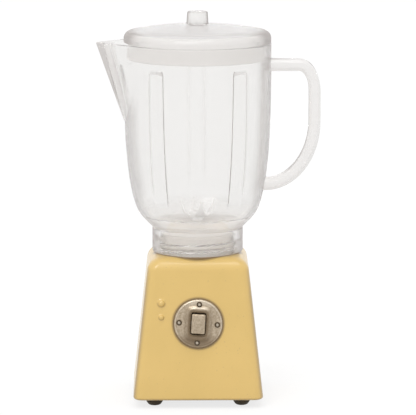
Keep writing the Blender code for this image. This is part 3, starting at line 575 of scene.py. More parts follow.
def paint(name):
    """Pale yellow enamel: orange-peel bump, faint clouding and sparse dust, with painted shade and shadows
    in dark brown.
    """
    finish = Finish(name)
    colour = finish.blend(finish.clouds(90, 4), linear(217, 183, 105), linear(223, 188, 110))
    speck = finish.span(finish.noise(2600, 2), 0.70, 0.76)
    colour = finish.blend(speck, colour, linear(190, 160, 104))
    # Painted shadows: a disc under the collar fading just outside it, and a ring round the switch plate
    collar_shadow = finish.near((axis_x, 0, housing_high.z), collar_reach - 0.0004, collar_reach + 0.0002)
    seat = switch_matrix().translation
    plate_shadow = finish.near(seat, SWITCH_RADIUS + 0.00005, SWITCH_RADIUS + 0.00055)
    painted_shade = finish.maths("MULTIPLY", finish.maths("MAXIMUM", collar_shadow, plate_shadow), 0.9)
    # The edge marks add painted shade down the corners, along the foot and round the pips
    painted_shade = finish.maths("MAXIMUM", painted_shade, finish.attribute("edge"))
    finish.to("Base Color", finish.blend(painted_shade, colour, linear(112, 86, 50)))
    finish.to("Roughness", finish.clouds(900, 3, 0.34, 0.46))
    finish.bump(finish.noise(1500, 3), 0.00001, 0.5)
    finish.set(Coat_Weight=0.7, Coat_Roughness=0.17)
    return finish.material


def rivet_ring(finish):
    """One on a narrow ring round each rivet's head, where the dark wash stays, and nothing elsewhere."""
    rings = None
    for across, along in RIVET_SIDES:
        middle = switch_matrix() @ Vector((across * RIVET_PLACE, along * RIVET_PLACE, PLATE_FLAT))
        ring = RIVET_RADIUS + RIVET_RING / 3
        inner = finish.near(middle, ring - RIVET_RING, ring - RIVET_RING / 3)
        outer = finish.near(middle, ring + RIVET_RING / 3, ring + RIVET_RING)
        here = finish.maths("SUBTRACT", outer, inner)
        rings = finish.maths("MAXIMUM", rings, here) if rings else here
    return rings


def antique_silver(name):
    """Cast metal with a silver wash: patina and painted shade where the hollow mark is positive, painted
    highlights where it is negative, speckled on the flats.
    """
    finish = Finish(name)
    grain = finish.span(finish.noise(2200, 4, 0.7), 0.35, 0.68)
    colour = finish.blend(grain, linear(160, 143, 120), linear(203, 188, 166))
    hollow = finish.attribute("hollow")
    # Patina in the hollows together with painted shade, where the hollow mark is positive
    colour = finish.blend(finish.span(hollow, 0, 1), colour, linear(124, 105, 80))
    # Painted highlight where the hollow mark is negative: rim bevel, plate top, mound's upper slope, rivet
    # caps
    colour = finish.blend(finish.span(hollow, 0, -1), colour, linear(238, 228, 210))
    colour = finish.blend(rivet_ring(finish), colour, linear(84, 70, 52))
    finish.to("Base Color", colour)
    finish.to("Roughness", finish.clouds(1300, 3, 0.34, 0.55))
    finish.to("Metallic", finish.span(hollow, 0, 0.8, 0.75, 0))
    finish.bump(finish.noise(2600, 3, 0.7), 0.00003, 0.7)
    return finish.material


def rubber(name):
    finish = Finish(name)
    finish.to("Base Color", finish.blend(finish.clouds(700), linear(58, 48, 32), linear(76, 64, 42)))
    finish.to("Roughness", finish.clouds(2400, 3, 0.6, 0.8))
    finish.bump(finish.noise(3500, 3), 0.00002, 0.5)
    return finish.material


def dark_plastic(name):
    finish = Finish(name)
    finish.to("Base Color", finish.blend(finish.clouds(160), linear(62, 58, 54), linear(74, 70, 66)))
    finish.to("Roughness", finish.clouds(1800, 3, 0.5, 0.65))
    finish.bump(finish.noise(4200, 2), 0.000015, 0.6)
    return finish.material


def plated_steel(name):
    finish = Finish(name)
    colour = finish.blend(finish.clouds(900, 4), linear(176, 172, 166), linear(206, 203, 198))
    finish.to("Base Color", colour)
    finish.to("Roughness", finish.clouds(2600, 3, 0.22, 0.38))
    finish.set(Metallic=1)
    finish.bump(finish.noise(3800, 2), 0.000008, 0.5)
    return finish.material


# Base


def square_ring(half, corner, height, corner_steps=10, side_steps=8):
    """A square ring with round corners, about the jar's axis."""
    corner = max(corner, SMALL_ROUND)
    points = []
    for quarter in range(4):
        start = quarter * math.pi / 2
        middle = Matrix.Rotation(start, 2) @ Vector((half - corner, half - corner))
        for i in range(corner_steps + 1):
            angle = start + math.pi / 2 * i / corner_steps
            points.append((middle.x + corner * math.cos(angle), middle.y + corner * math.sin(angle)))
        last = Vector(points[-1])
        turn = Matrix.Rotation(start + math.pi / 2, 2)
        following = turn @ Vector((half, half - corner))
        for i in range(1, side_steps):
            point = last.lerp(following, i / side_steps)
            points.append((point.x, point.y))
    return [(axis_x + x, y, height) for x, y in points]


def housing_half(height):
    return FOOT_HALF - (height - housing_low.z) * math.tan(lean)


def make_housing():
    """The tapered shell, hollow and open at its foot, with a rebate for the bottom plate."""
    low, high = housing_low.z, housing_high.z
    ceiling = high - TOP_WALL
    rebate = low + REBATE_DEPTH
    rebate_half = FOOT_HALF - WALL + REBATE_STEP
    rings = []
    for inset, up in arc((FOOT_ROUND, FOOT_ROUND), FOOT_ROUND, FOOT_ROUND, 270, 180, 6):
        rings.append(square_ring(housing_half(low + up) - inset, CORNER_ROUND - inset, low + up))
    for share in (0.25, 0.5, 0.75):
        height = low + (high - low) * share
        rings.append(square_ring(housing_half(height), CORNER_ROUND, height))
    for inset, up in arc((TOP_ROUND, -TOP_ROUND), TOP_ROUND, TOP_ROUND, 180, 90, 14):
        corner = CORNER_ROUND * (1 - inset / TOP_ROUND) + EDGE_ROUND * inset / TOP_ROUND
        rings.append(square_ring(housing_half(high + up) - inset, corner + inset / 2, high + up))
    hole = STEM_RADIUS + SEAT_GAP
    boss_low = ceiling - BOSS_DROP
    angles = [math.atan2(y, x - axis_x) for x, y, _ in rings[-1]]
    boss = [(hole + SMALL_ROUND, high), (hole, high - SMALL_ROUND), (hole, boss_low)]
    boss += [(BOSS_RADIUS, boss_low), (BOSS_RADIUS, ceiling)]
    for radius, height in boss:
        rings.append([(axis_x + radius * math.cos(a), radius * math.sin(a), height) for a in angles])
    for inset, up in arc((CAVITY_ROUND, -CAVITY_ROUND), CAVITY_ROUND, CAVITY_ROUND, 90, 180, 4):
        height = ceiling + up
        rings.append(square_ring(housing_half(height) - WALL - inset, CAVITY_ROUND - inset, height))
    rings.append(square_ring(housing_half(rebate) - WALL, CAVITY_ROUND, rebate))
    rings.append(square_ring(rebate_half, SMALL_ROUND, rebate))
    rings.append(square_ring(rebate_half, SMALL_ROUND, low))
    housing = skin("painted_housing", rings, closed=True)
    cutter = block("switch_cutter", OPENING_HALVES, -WALL - CUTTER_OVERRUN, CUTTER_OVERRUN)
    place_mesh(cutter, switch_matrix())
    cut(housing, cutter)
    housing.data.set_sharp_from_angle(angle=SHARP_ANGLE)
    mark(housing, "edge", housing_painted_shade)
    dress(housing, PAINT, "base", "base_housing", slot="base_paint")
    make_posts(rebate, ceiling)


def housing_painted_shade(vert):
    """Painted shade on the foot's edge, and in a line down each upright corner, nearer the side faces."""
    middle = housing_half(vert.co.z) - CORNER_ROUND
    across = Vector((abs(vert.co.x - axis_x) - middle, abs(vert.co.y) - middle))
    line = 0
    if min(across) > -SMALL_ROUND and across.length > CORNER_ROUND - SMALL_ROUND:
        angle = math.degrees(math.atan2(across.x, across.y))
        line = smooth_step(1 - abs(angle - CORNER_SHADE_MIDDLE) / CORNER_SHADE_SPREAD)
        line *= smooth_step((housing_high.z - TOP_ROUND / 2 - vert.co.z) / TOP_ROUND)
    foot = smooth_step((housing_low.z + FOOT_ROUND - vert.co.z) / FOOT_ROUND)
    return max(CORNER_SHADE * line, FOOT_SHADE * foot)


def make_pips():
    """The two pips on the front, each a dome with a flared foot."""
    for i, (rise, radius, flare, height) in enumerate(PIPS):
        outline = arc((0, 0), radius, height, 90, 20, 10)
        dome_edge, dome_foot = outline[-1]
        for t in (0.15, 0.3, 0.45, 0.6, 0.8, 1):
            outline.append((dome_edge + (flare - dome_edge) * t, dome_foot * (1 - t) ** PIP_FLARE))
        outline += [(flare, -SEAT_GAP), (0, -SEAT_GAP)]
        pip = turned(f"pip_{i}", outline, 64, middle=0)
        mark(pip, "edge", lambda vert: pip_painted_shade(vert.co, radius))
        place_mesh(pip, seat_matrix() @ Matrix.Translation((-PIP_SIDE, rise, 0)))
        dress(pip, PAINT, "base", slot="base_paint")


def pip_painted_shade(place, radius):
    """Painted shade round a pip's foot, most below it."""
    around = smooth_step(1 - abs(math.hypot(place.x, place.y) - radius * 1.1) / (radius * 0.4))
    return PIP_SHADE * around * smooth_step(0.7 - place.y / radius)


def make_posts(low, high):
    """The two hollow posts inside the housing that take the bottom plate's screws."""
    hole_top = low + POST_HOLE_LENGTH
    outline = [(0, high), (POST_RADIUS, high), (POST_RADIUS, low)]
    outline += [(POST_HOLE, low), (POST_HOLE, hole_top), (0, hole_top)]
    post = turned("post", outline, 32, middle=0)
    places = []
    for side in ("left", "right"):
        box_low, box_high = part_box(f"bottom_screw_{side}")
        places.append(((box_low.x + box_high.x) / 2, 0, 0))
    dress(copies("screw_posts", post, places, PAINT), PAINT, "base", slot="base_paint")


def seat_matrix():
    """From the switch seat's frame, X right, Y up the slope and Z out of it, to the model's."""
    height = housing_low.z + SWITCH_HEIGHT
    tilt = Matrix.Rotation(math.radians(90) - lean, 4, "X")
    return Matrix.Translation((axis_x, -housing_half(height), height)) @ tilt


def switch_matrix():
    return seat_matrix() @ Matrix.Rotation(SWITCH_TWIST, 4, "Z")


def block(name, halves, low, high, rounding=0):
    """A block from a low height to a high one, its edges rounded where a radius is given."""
    bm = bmesh.new()
    bmesh.ops.create_cube(bm, size=1)
    for vert in bm.verts:
        vert.co = (vert.co.x * 2 * halves[0], vert.co.y * 2 * halves[1], high if vert.co.z > 0 else low)
    if rounding:
        edges = bm.edges[:]
        bmesh.ops.bevel(bm, geom=edges, offset=rounding, segments=6, profile=0.5, affect="EDGES")
    return finished(name, bm)


def cut(obj, cutter, operation="DIFFERENCE"):
    """Applies one Boolean and removes the cutter."""
    boolean = obj.modifiers.new("cut", "BOOLEAN")
    boolean.operation = operation
    boolean.solver = "MANIFOLD"
    boolean.object = cutter
    graph = bpy.context.evaluated_depsgraph_get()
    mesh = bpy.data.meshes.new_from_object(obj.evaluated_get(graph))
    obj.modifiers.clear()
    obj.data = mesh
    bpy.data.objects.remove(cutter)


def soft_ring(halves, squareness, height, steps=144):
    """An ellipse at a squareness of two, nearing a rectangle as that grows."""
    points = []
    for angle in circle(steps):
        across = abs(math.cos(angle)) / halves[0]
        along = abs(math.sin(angle)) / halves[1]
        reach = (across**squareness + along**squareness) ** (-1 / squareness)
        points.append((reach * math.cos(angle), reach * math.sin(angle), height))
    return points


# The switch plate's section from its rim to its window: half-sizes, squareness, height and how hollow it is
# The last value gives patina and painted shade, as on the rim's outer wall, and a painted highlight where
# negative, as on the rim's bevel
PLATE_SECTION = (
    ((0.005, 0.005), 2, 0.0001, 1),
    ((0.005, 0.005), 2, 0.0003, 1),
    ((0.00495, 0.00495), 2, 0.0004, 0.7),
    ((0.00485, 0.00485), 2, 0.00052, 0.1),
    ((0.00474, 0.00474), 2, 0.00061, -0.4),
    ((0.00462, 0.00462), 2, 0.00064, -0.15),
    ((0.0045, 0.0045), 2, 0.00063, 0.2),
    ((0.0043, 0.0043), 2, 0.00062, 0),
    ((0.0031, 0.0039), 3.5, 0.00062, 0.05),
    ((0.00286, 0.00366), 4, 0.00063, 0.25),
    ((0.0027, 0.0035), 4, 0.0007, 0.3),
    ((0.00256, 0.00336), 3.6, 0.0009, 0.3),
    ((0.0024, 0.0032), 3.6, 0.00104, 0.4),
    ((0.00222, 0.00302), 4, 0.0011, 0.6),
    ((0.00202, 0.00282), 5, 0.00107, 0.85),
    ((0.0018, 0.0026), 6, 0.00096, 0.75),
    ((0.00158, 0.00234), 10, 0.0008, 0.4),
    ((0.00149, 0.00223), 12, 0.0006, 0),
    ((0.00149, 0.00223), 12, 0.0001, 0.2),
)


def make_switch():
    """The plate with its mound and window, the two lugs behind it, and the rocker."""
    rings = [soft_ring(halves, squareness, height) for halves, squareness, height, _ in PLATE_SECTION]
    plate = skin("silver_plate", rings, closed=True)
    columns = len(rings[0])
    mark(plate, "hollow", lambda vert: PLATE_SECTION[vert.index // columns][3] + plate_painted_light(vert.co))
    place_mesh(plate, switch_matrix())
    dress(plate, SILVER, "base", "switch_plate", slot="antique_silver")
    for side in (-1, 1):
        lug = block(f"plate_lug_{'right' if side > 0 else 'left'}", LUG_HALVES, -LUG_DEPTH, SEAT_GAP)
        reach = WINDOW_HALVES[0] + SEAT_GAP + LUG_HALVES[0]
        place_mesh(lug, switch_matrix() @ Matrix.Translation((side * reach, 0, 0)))
        dress(lug, SILVER, "base", slot="antique_silver")
    low, high = -ROCKER_DEPTH, ROCKER_HEIGHT
    rocker = block("silver_rocker", ROCKER_HALVES, low, high, ROCKER_ROUND)
    mark(rocker, "hollow", rocker_painted_shade)
    place_mesh(rocker, switch_matrix())
    dress(rocker, SILVER, "rocker", "rocker", slot="antique_silver")


def plate_painted_light(place):
    """Painted shade low on the plate, a painted highlight at its top, and a painted highlight on the mound's
    upper slope.
    """
    low = -place.y / SWITCH_RADIUS
    low_shade_top_light = 1.5 * smooth_step((low - 0.3) / 0.5) - 0.6 * smooth_step((-low - 0.6) / 0.3)
    slope_highlight = smooth_step(1 - abs(low + SLOPE_HIGHLIGHT_PLACE) / SLOPE_HIGHLIGHT_SPREAD)
    slope_highlight *= smooth_step(1.7 - abs(place.x) / SLOPE_HIGHLIGHT_HALF)
    return LOW_PLATE_SHADE * low_shade_top_light - slope_highlight


def rocker_painted_shade(vert):
    """Painted shade on the rocker, darker downwards, towards the window it stands in."""
    top = WINDOW_HALVES[0] / 2
    return 0.5 * smooth_step((top - vert.co.z) / top)


# Repeated pieces, grown by geometry nodes


def new_tree(name, sizes):
    """A geometry node tree with a named input for each size."""
    tree = bpy.data.node_groups.new(name, "GeometryNodeTree")
    tree.interface.new_socket("Geometry", in_out="INPUT", socket_type="NodeSocketGeometry")
    for label, value in sizes.items():
        kind = "NodeSocketInt" if isinstance(value, int) else "NodeSocketFloat"
        tree.interface.new_socket(label, in_out="INPUT", socket_type=kind).default_value = value
    tree.interface.new_socket("Material", in_out="INPUT", socket_type="NodeSocketMaterial")
    tree.interface.new_socket("Geometry", in_out="OUTPUT", socket_type="NodeSocketGeometry")
    start = tree.nodes.new("NodeGroupInput")
    end = tree.nodes.new("NodeGroupOutput")
    return tree, start, end


def grow(name, seed_mesh, tree, sizes, material):
    """Runs a tree on a mesh and keeps its result as a plain mesh."""
    seed = linked(name, seed_mesh)
    modifier = seed.modifiers.new(tree.name, "NODES")
    modifier.node_group = tree
    values = {**sizes, "Material": material}
    for item in tree.interface.items_tree:
        if item.in_out == "INPUT" and item.name in values:
            modifier[item.identifier] = values[item.name]
    graph = bpy.context.evaluated_depsgraph_get()
    mesh = bpy.data.meshes.new_from_object(seed.evaluated_get(graph))
    bpy.data.objects.remove(seed)
    mesh.name = name
    mesh.set_sharp_from_angle(angle=SHARP_ANGLE)
    return linked(name, mesh)


def copies_tree():
    """Sets a copy of one piece on each point of the seed mesh, turned as the point's normal is."""
    tree, start, end = new_tree("copies_on_points", {"Size": 1.0})
    tree.interface.new_socket("Piece", in_out="INPUT", socket_type="NodeSocketObject")
    info = tree.nodes.new("GeometryNodeObjectInfo")
    info.transform_space = "ORIGINAL"
    points = tree.nodes.new("GeometryNodeInstanceOnPoints")
    realize = tree.nodes.new("GeometryNodeRealizeInstances")
    dressed = tree.nodes.new("GeometryNodeSetMaterial")
    links = tree.links
    links.new(start.outputs["Piece"], info.inputs["Object"])
    links.new(start.outputs["Geometry"], points.inputs["Points"])
    links.new(info.outputs["Geometry"], points.inputs["Instance"])
    links.new(start.outputs["Size"], points.inputs["Scale"])
    links.new(points.outputs["Instances"], realize.inputs["Geometry"])
    links.new(realize.outputs["Geometry"], dressed.inputs["Geometry"])
    links.new(start.outputs["Material"], dressed.inputs["Material"])
    links.new(dressed.outputs["Geometry"], end.inputs["Geometry"])
    return tree


def copies(name, piece, places, material):
    seed = bpy.data.meshes.new(name)
    seed.from_pydata(places, [], [])
    obj = grow(name, seed, copies_tree(), {"Size": 1.0, "Piece": piece}, material)
    bpy.data.objects.remove(piece)
    return obj


def make_rivets():
    """The four rivets, dark with patina round their heads' feet and with a painted highlight on their caps.
    """
    head = PLATE_FLAT + SEAT_GAP / 2
    tail = -WALL
    dome = arc((0, head), RIVET_RADIUS, RIVET_HEIGHT, 90, 0, 8)
    outline = [*dome, (RIVET_SHANK, head), (RIVET_SHANK, tail), (0, tail)]
    rivet = turned("rivet", outline, 32, middle=0)
    places = [(across * RIVET_PLACE, along * RIVET_PLACE, 0) for across, along in RIVET_SIDES]
    rivets = copies("plate_rivets", rivet, places, SILVER)

    def patina_and_highlight(vert):
        # Patina at the head's foot, and a painted highlight on its cap
        risen = (vert.co.z - head) / RIVET_HEIGHT
        return smooth_step(1 - risen * 2) - RIVET_SHINE * smooth_step(risen * 2 - 1)

    mark(rivets, "hollow", patina_and_highlight)
    place_mesh(rivets, switch_matrix())
    names = [f"plate_rivet_{side}" for side in ("top", "left", "right", "bottom")]
    dress(rivets, SILVER, "base", *names, slot="antique_silver")


def make_feet():
    low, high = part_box("foot_front_left")
    radius = (high.x - low.x) / 2
    outline = soften(
        [
            (0, high.z, 0),
            (radius * 0.5, high.z, 0),
            (radius * 0.5, housing_low.z + SEAT_GAP, 0),
            (radius, housing_low.z + SEAT_GAP, SMALL_ROUND),
            (radius, housing_low.z / 2, radius / 2),
            (radius * 0.66, low.z, radius / 2),
            (0, low.z, 0),
        ],
        steps=8,
    )
    foot = turned("foot", outline, 64, middle=0)
    names = [f"foot_{side}" for side in ("front_left", "front_right", "rear_left", "rear_right")]
    places = []
    for name in names:
        box_low, box_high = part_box(name)
        places.append(((box_low.x + box_high.x) / 2, (box_low.y + box_high.y) / 2, 0))
    feet = copies("rubber_feet", foot, places, RUBBER)
    dress(feet, RUBBER, "base", *names, slot="foot_rubber")


# Screw joint


def ridge_share(angle, height):
    """How far the thread's ridge stands at a place, from none to all, with its ends tapered."""
    best = 0
    turn = angle / math.tau
    for whole in range(-1, 3):
        at = turn + whole
        if not -THREAD_TAPER < at < THREAD_TURNS + THREAD_TAPER:
            continue
        off = abs(height - THREAD_START - at * THREAD_PITCH)
        flank = (RIDGE_ROOT_HALF - off) / (RIDGE_ROOT_HALF - RIDGE_CREST_HALF)
        from_end = min(at + THREAD_TAPER, THREAD_TURNS + THREAD_TAPER - at)
        ends = min(1, from_end / THREAD_TAPER / 2)
        best = max(best, smooth_step(flank) * smooth_step(ends))
    return best


def groove_share(angle, height):
    """How deep the collar's groove is at a place. It runs on down and out at the collar's foot."""
    best = 0
    turn = angle / math.tau
    wide = RIDGE_ROOT_HALF + THREAD_GAP
    for whole in range(-3, 3):
        at = turn + whole
        if at > THREAD_TURNS + THREAD_TAPER:
            continue
        off = abs(height - THREAD_START - at * THREAD_PITCH)
        flank = (wide - off) / (RIDGE_ROOT_HALF - RIDGE_CREST_HALF)
        ends = min(1, (THREAD_TURNS + THREAD_TAPER - at) / THREAD_TAPER)
        best = max(best, smooth_step(flank) * smooth_step(ends))
    return best


def threaded_ring(radius, step, share, height):
    """A ring of the thread, at a height above the collar's foot."""
    points = []
    for angle in circle(THREAD_STEPS):
        reach = radius + step * share(angle, height)
        points.append((axis_x + reach * math.cos(angle), reach * math.sin(angle), collar_low.z + height))
    return points


def make_spigot():
    """A cup with the thread round it, and a stem below that takes the screw."""
    high = spigot_high.z - collar_low.z
    rows = 76
    bore = SPIGOT_RADIUS - SPIGOT_WALL
    floor = collar_low.z + SPIGOT_FLOOR
    outline = soften(
        [
            (POLE_RADIUS, floor, 0),
            (bore, floor, EDGE_ROUND),
            (bore, spigot_high.z, SMALL_ROUND),
            (SPIGOT_RADIUS - EDGE_ROUND, spigot_high.z, 0),
        ]
    )
    rings = [round_ring(radius, height, THREAD_STEPS) for radius, height in outline]
    step = CREST_RADIUS - SPIGOT_RADIUS
    for i in range(rows + 1):
        height = (high - EDGE_ROUND) * (1 - i / rows)
        rings.append(threaded_ring(SPIGOT_RADIUS, step, ridge_share, height))
    hole_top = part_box("spigot_screw")[1].z + SEAT_GAP
    stem = [(STEM_RADIUS, collar_low.z), (STEM_RADIUS, spigot_low.z), (STEM_HOLE, spigot_low.z)]
    for radius, height in [*stem, (STEM_HOLE, hole_top), (POLE_RADIUS, hole_top)]:
        rings.append(round_ring(radius, height, THREAD_STEPS))
    spigot = skin("clear_spigot", rings)
    mark(spigot, "edge", thread_painted_shade)
    dress(spigot, NECK, "base", "threaded_spigot", slot="clear_plastic")


def thread_painted_shade(vert):
    """Painted shade on the lower flank of the thread's ridge, broken up by noise and strongest at the front.
    """
    angle = math.atan2(vert.co.y, vert.co.x - axis_x) % math.tau
    share = ridge_share(angle, vert.co.z - collar_low.z)
    above = ridge_share(angle, vert.co.z - collar_low.z + SMALL_ROUND)
    outside = math.hypot(vert.co.x - axis_x, vert.co.y) > SPIGOT_RADIUS - SMALL_ROUND
    if not outside or above <= share:
        return 0
    speckle = smooth_step(0.5 + noise.noise(vert.co * 2500))
    front = 0.45 + 1.1 * smooth_step(-math.sin(angle) * 2 - 0.8)
    return min(1, 7 * share * (1 - share)) * speckle * front


def make_collar():
    """The collar, with the thread's groove in its bore."""
    high = collar_high.z - collar_low.z
    rows = 100
    outline = soften(
        [
            (COLLAR_BORE, high, SMALL_ROUND),
            (collar_reach, high, EDGE_ROUND),
            (collar_reach, 0, EDGE_ROUND),
            (COLLAR_BORE, 0, 0),
        ],
        closed=True,
        steps=6,
    )
    rings = [round_ring(radius, collar_low.z + height, THREAD_STEPS) for radius, height in outline[:-1]]
    step = CREST_RADIUS + THREAD_GAP - COLLAR_BORE
    for i in range(rows):
        rings.append(threaded_ring(COLLAR_BORE, step, groove_share, (high - 2 * SMALL_ROUND) * i / rows))
    collar = skin("clear_collar", rings, closed=True)
    dress(collar, CLEAR_COLLAR, "jar", "jar_collar", slot="clear_plastic")


# Jar


def smooth_value(table, at):
    """A value on a smooth curve through a table's points that never overshoots them."""
    spans = [(b[0] - a[0], (b[1] - a[1]) / (b[0] - a[0])) for a, b in zip(table, table[1:])]
    slopes = [spans[0][1]]
    for (_, before), (_, after) in zip(spans, spans[1:]):
        slopes.append(2 * before * after / (before + after) if before * after > 0 else 0)
    slopes.append(spans[-1][1])
    i = max(k for k, point in enumerate(table[:-1]) if point[0] <= at)
    width = spans[i][0]
    t = (at - table[i][0]) / width
    u = 1 - t
    ends = table[i][1] * (1 + 2 * t) * u**2 + table[i + 1][1] * (1 + 2 * u) * t**2
    return ends + width * t * u * (slopes[i] * u - slopes[i + 1] * t)


def jar_radius(height):
    share = min(max(height / JAR_HEIGHT, 0), 1)
    return collar_reach + (JAR_RADIUS - collar_reach) * smooth_value(JAR_OUTLINE_SHARES, share)


def wall_radius(height, inset):
    """The radius of the skin at a depth into the wall, measured square to the wall's slope."""
    low = max(height - JAR_WALL, 0)
    high = min(height + JAR_WALL, JAR_HEIGHT)
    slope = (jar_radius(high) - jar_radius(low)) / (high - low)
    return jar_radius(height) - inset * math.hypot(1, slope)


def spout_angle(height):
    """How far to each side of the spout's tip its flat sides meet the round wall."""
    start = JAR_HEIGHT * SPOUT_START_SHARE
    if height <= start:
        return 0
    share = (height - start) / (JAR_HEIGHT - start)
    tip = jar_radius(start) + (SPOUT_REACH - jar_radius(start)) * share
    return math.acos(min(jar_radius(height) / tip, 1))


def rib_half(height):
    """Half a rib's width, as an angle. The ribs widen downwards."""
    spread = RIB_SPREAD * (1 - height / (JAR_HEIGHT - RIB_TOP_DROP))
    return (RIB_HALF_WIDTH + spread) / (JAR_RADIUS - JAR_WALL)


def beside_rib(angle):
    """The angle from the nearest rib's middle."""
    spacing = math.tau / RIB_COUNT
    return (angle - math.pi / 2 + spacing / 2) % spacing - spacing / 2


def rib_share(angle, height):
    """How far a rib stands: upright bars inside the wall that fade out near the floor."""
    off = (abs(beside_rib(angle)) - rib_half(height)) * (JAR_RADIUS - JAR_WALL)
    beside = max(0, off + RIB_FLANK) / RIB_FLANK
    above = max(0, height - JAR_HEIGHT + RIB_TOP_DROP + RIB_TOP_FADE) / RIB_TOP_FADE
    return smooth_step(1 - math.hypot(beside, above)) * smooth_step((height - RIB_START) / RIB_START_FADE)


def jar_columns():
    """The angles of the skin's upright edges, close together over the ribs' flanks."""
    half_rib = rib_half(0)
    flank = RIB_FLANK / (JAR_RADIUS - JAR_WALL)
    stops = [math.pi]
    for i in range(RIB_COUNT):
        middle = math.pi / 2 + math.tau * i / RIB_COUNT
        for side in (-1, 1):
            stops += [middle + side * half_rib, middle + side * (half_rib - flank)]
    stops = sorted(stop % math.tau for stop in stops)
    columns = []
    stops += [math.pi - SPOUT_FINE, math.pi + SPOUT_FINE]
    stops.sort()
    for stop, following in zip(stops, stops[1:] + [stops[0] + math.tau]):
        on_flank = following - stop < flank * 1.01
        in_keel = abs(following + stop - math.tau) < 2 * SPOUT_FINE
        step = FLANK_STEP if on_flank else KEEL_STEP if in_keel else WALL_STEP
        count = math.ceil((following - stop) / step)
        columns += [stop + (following - stop) * i / count for i in range(count)]
    return columns


def leaning_column(angle, height):
    """A column's angle at a height, where it leans along the ribs' widening sides."""
    off = beside_rib(angle)
    widest = rib_half(0)
    lean_in = (widest - rib_half(height)) * min(abs(off) / widest, 1)
    lean_in *= 1 - smooth_step((abs(off) - widest) / COLUMN_LEAN_REACH)
    return angle - math.copysign(lean_in, off)


def keel_depth(angle, turn):
    """How much thicker the wall is in the spout's corner, at its tip and down its keel."""
    off = abs(angle - math.pi) / KEEL_SPREAD
    return SPOUT_KEEL * smooth_step(1 - off) * turn / spout_angle(JAR_HEIGHT)


def jar_ring(height, inset, inside=False):
    """One ring of the jar's skin, at a height above its foot and a depth into its wall."""
    turn = spout_angle(height)
    radius = wall_radius(height, inset)
    points = []
    for column in COLUMNS:
        angle = leaning_column(column, height)
        off = math.hypot(angle - math.pi, SPOUT_SOFTNESS * min(1, turn))
        reach = radius / math.cos(turn - off) if off < turn else radius
        if inside:
            raised = RIB_DEPTH * rib_share(angle, height) + keel_depth(angle, turn)
            reach -= raised + seam_flash(angle, height)
        points.append((axis_x + reach * math.cos(angle), reach * math.sin(angle), jar_floor_low + height))
    return points


def plain_ring(radius, height):
    return [(axis_x + radius * math.cos(a), radius * math.sin(a), height) for a in COLUMNS]


def seam_line(angle):
    """The height of the ragged seam where the jar's foot was closed."""
    around = Vector((math.cos(angle), math.sin(angle), 0))
    return SEAM_HEIGHT + SEAM_UNEVEN * noise.fractal(around * 8, 1, 2, 5)


def seam_flash(angle, height):
    """How far the seam's thin ridge of flash stands in from the wall."""
    off = (height - seam_line(angle)) / SEAM_HALF
    if abs(off) > 1:
        return 0
    around = Vector((math.cos(angle), math.sin(angle), 1))
    return FLOOR_FLASH * smooth_step(1 - abs(off)) * (0.4 + abs(noise.fractal(around * 15, 1, 2, 4)))


def flashed_ring(radius, height, share):
    """A ring of the floor's inner corner, where the two halves' seam left an uneven edge."""
    points = []
    for angle in COLUMNS:
        across = Vector((math.cos(angle), math.sin(angle), 0))
        uneven = noise.fractal(across * 9, 1, 2, 4) * FLOOR_FLASH * math.sin(math.pi * min(share, 1))
        reach = radius - uneven
        points.append((axis_x + across.x * reach, across.y * reach, height + abs(uneven)))
    return points


def inside_heights(low):
    """The rows down the inside, close together at the ribs' tops and over the seam."""
    rib_top = JAR_HEIGHT - RIB_TOP_DROP
    heights = [rib_top + RIB_HALF_WIDTH]
    for i in range(RIB_TOP_ROWS + 1):
        heights.append(rib_top + RIB_TOP_FADE * (0.1 - 1.2 * i / RIB_TOP_ROWS))
    start = heights[-1] - RIB_TOP_FADE * 0.1
    seam_top = SEAM_HEIGHT + SEAM_UNEVEN * 2
    heights += [start + (seam_top - start) * (i / INSIDE_ROWS) ** 0.85 for i in range(INSIDE_ROWS)]
    heights += [seam_top + (low - seam_top) * i / SEAM_ROWS for i in range(SEAM_ROWS + 1)]
    return heights


def make_jar():
    """The jar's skin: up its outside, over the rim, down inside, across the floor and round the boss."""
    heights = [JAR_HEIGHT * (i / OUTSIDE_ROWS) ** 1.25 for i in range(OUTSIDE_ROWS)]
    rings = [jar_ring(height, 0) for height in heights if height < JAR_HEIGHT - RIM_ROUND * 1.5]
    rim = arc((RIM_ROUND, -RIM_ROUND), RIM_ROUND, RIM_ROUND, 180, 90, 5)
    rim += arc((JAR_WALL - RIM_ROUND, -RIM_ROUND), RIM_ROUND, RIM_ROUND, 90, 0, 5)
    rings += [jar_ring(JAR_HEIGHT + drop, inset) for inset, drop in rim]
    floor_round = JAR_FLOOR * 0.7
    end = JAR_FLOOR + floor_round
    rings += [jar_ring(height, JAR_WALL, inside=True) for height in inside_heights(end)]
    corner = wall_radius(end, JAR_WALL)
    for across, up in arc((corner - floor_round, end), floor_round, floor_round, 0, -90, 6)[1:]:
        rings.append(flashed_ring(across, jar_floor_low + up, (end - up) / floor_round))
    boss_low = jar_floor_low - JAR_BOSS_HEIGHT
    rim_low = spigot_high.z + SEAT_GAP
    floor = jar_floor_low + JAR_FLOOR
    rings += [plain_ring(radius, floor) for radius in (corner * 0.6, corner * 0.3, PIN_HOLE)]
    rings += [plain_ring(PIN_HOLE, boss_low)]
    bore = SPIGOT_RADIUS - JAR_BOSS_RIM
    outline = soften(
        [
            (bore - EDGE_ROUND, boss_low, 0),
            (bore, boss_low, SMALL_ROUND),
            (bore, rim_low, SMALL_ROUND),
            (SPIGOT_RADIUS, rim_low, SMALL_ROUND),
            (SPIGOT_RADIUS, jar_floor_low, 0),
        ]
    )
    rings += [plain_ring(radius, height) for radius, height in outline]
    jar = skin("clear_jar", rings, closed=True)
    cut_pockets(jar)
    mark(jar, "edge", jar_lines)
    mark(jar, "dense", jar_dense)
    mark(jar, "frost", jar_frost)
    dress(jar, CLEAR_JAR, "jar", "jar", slot="clear_plastic", thin=thin_haze)


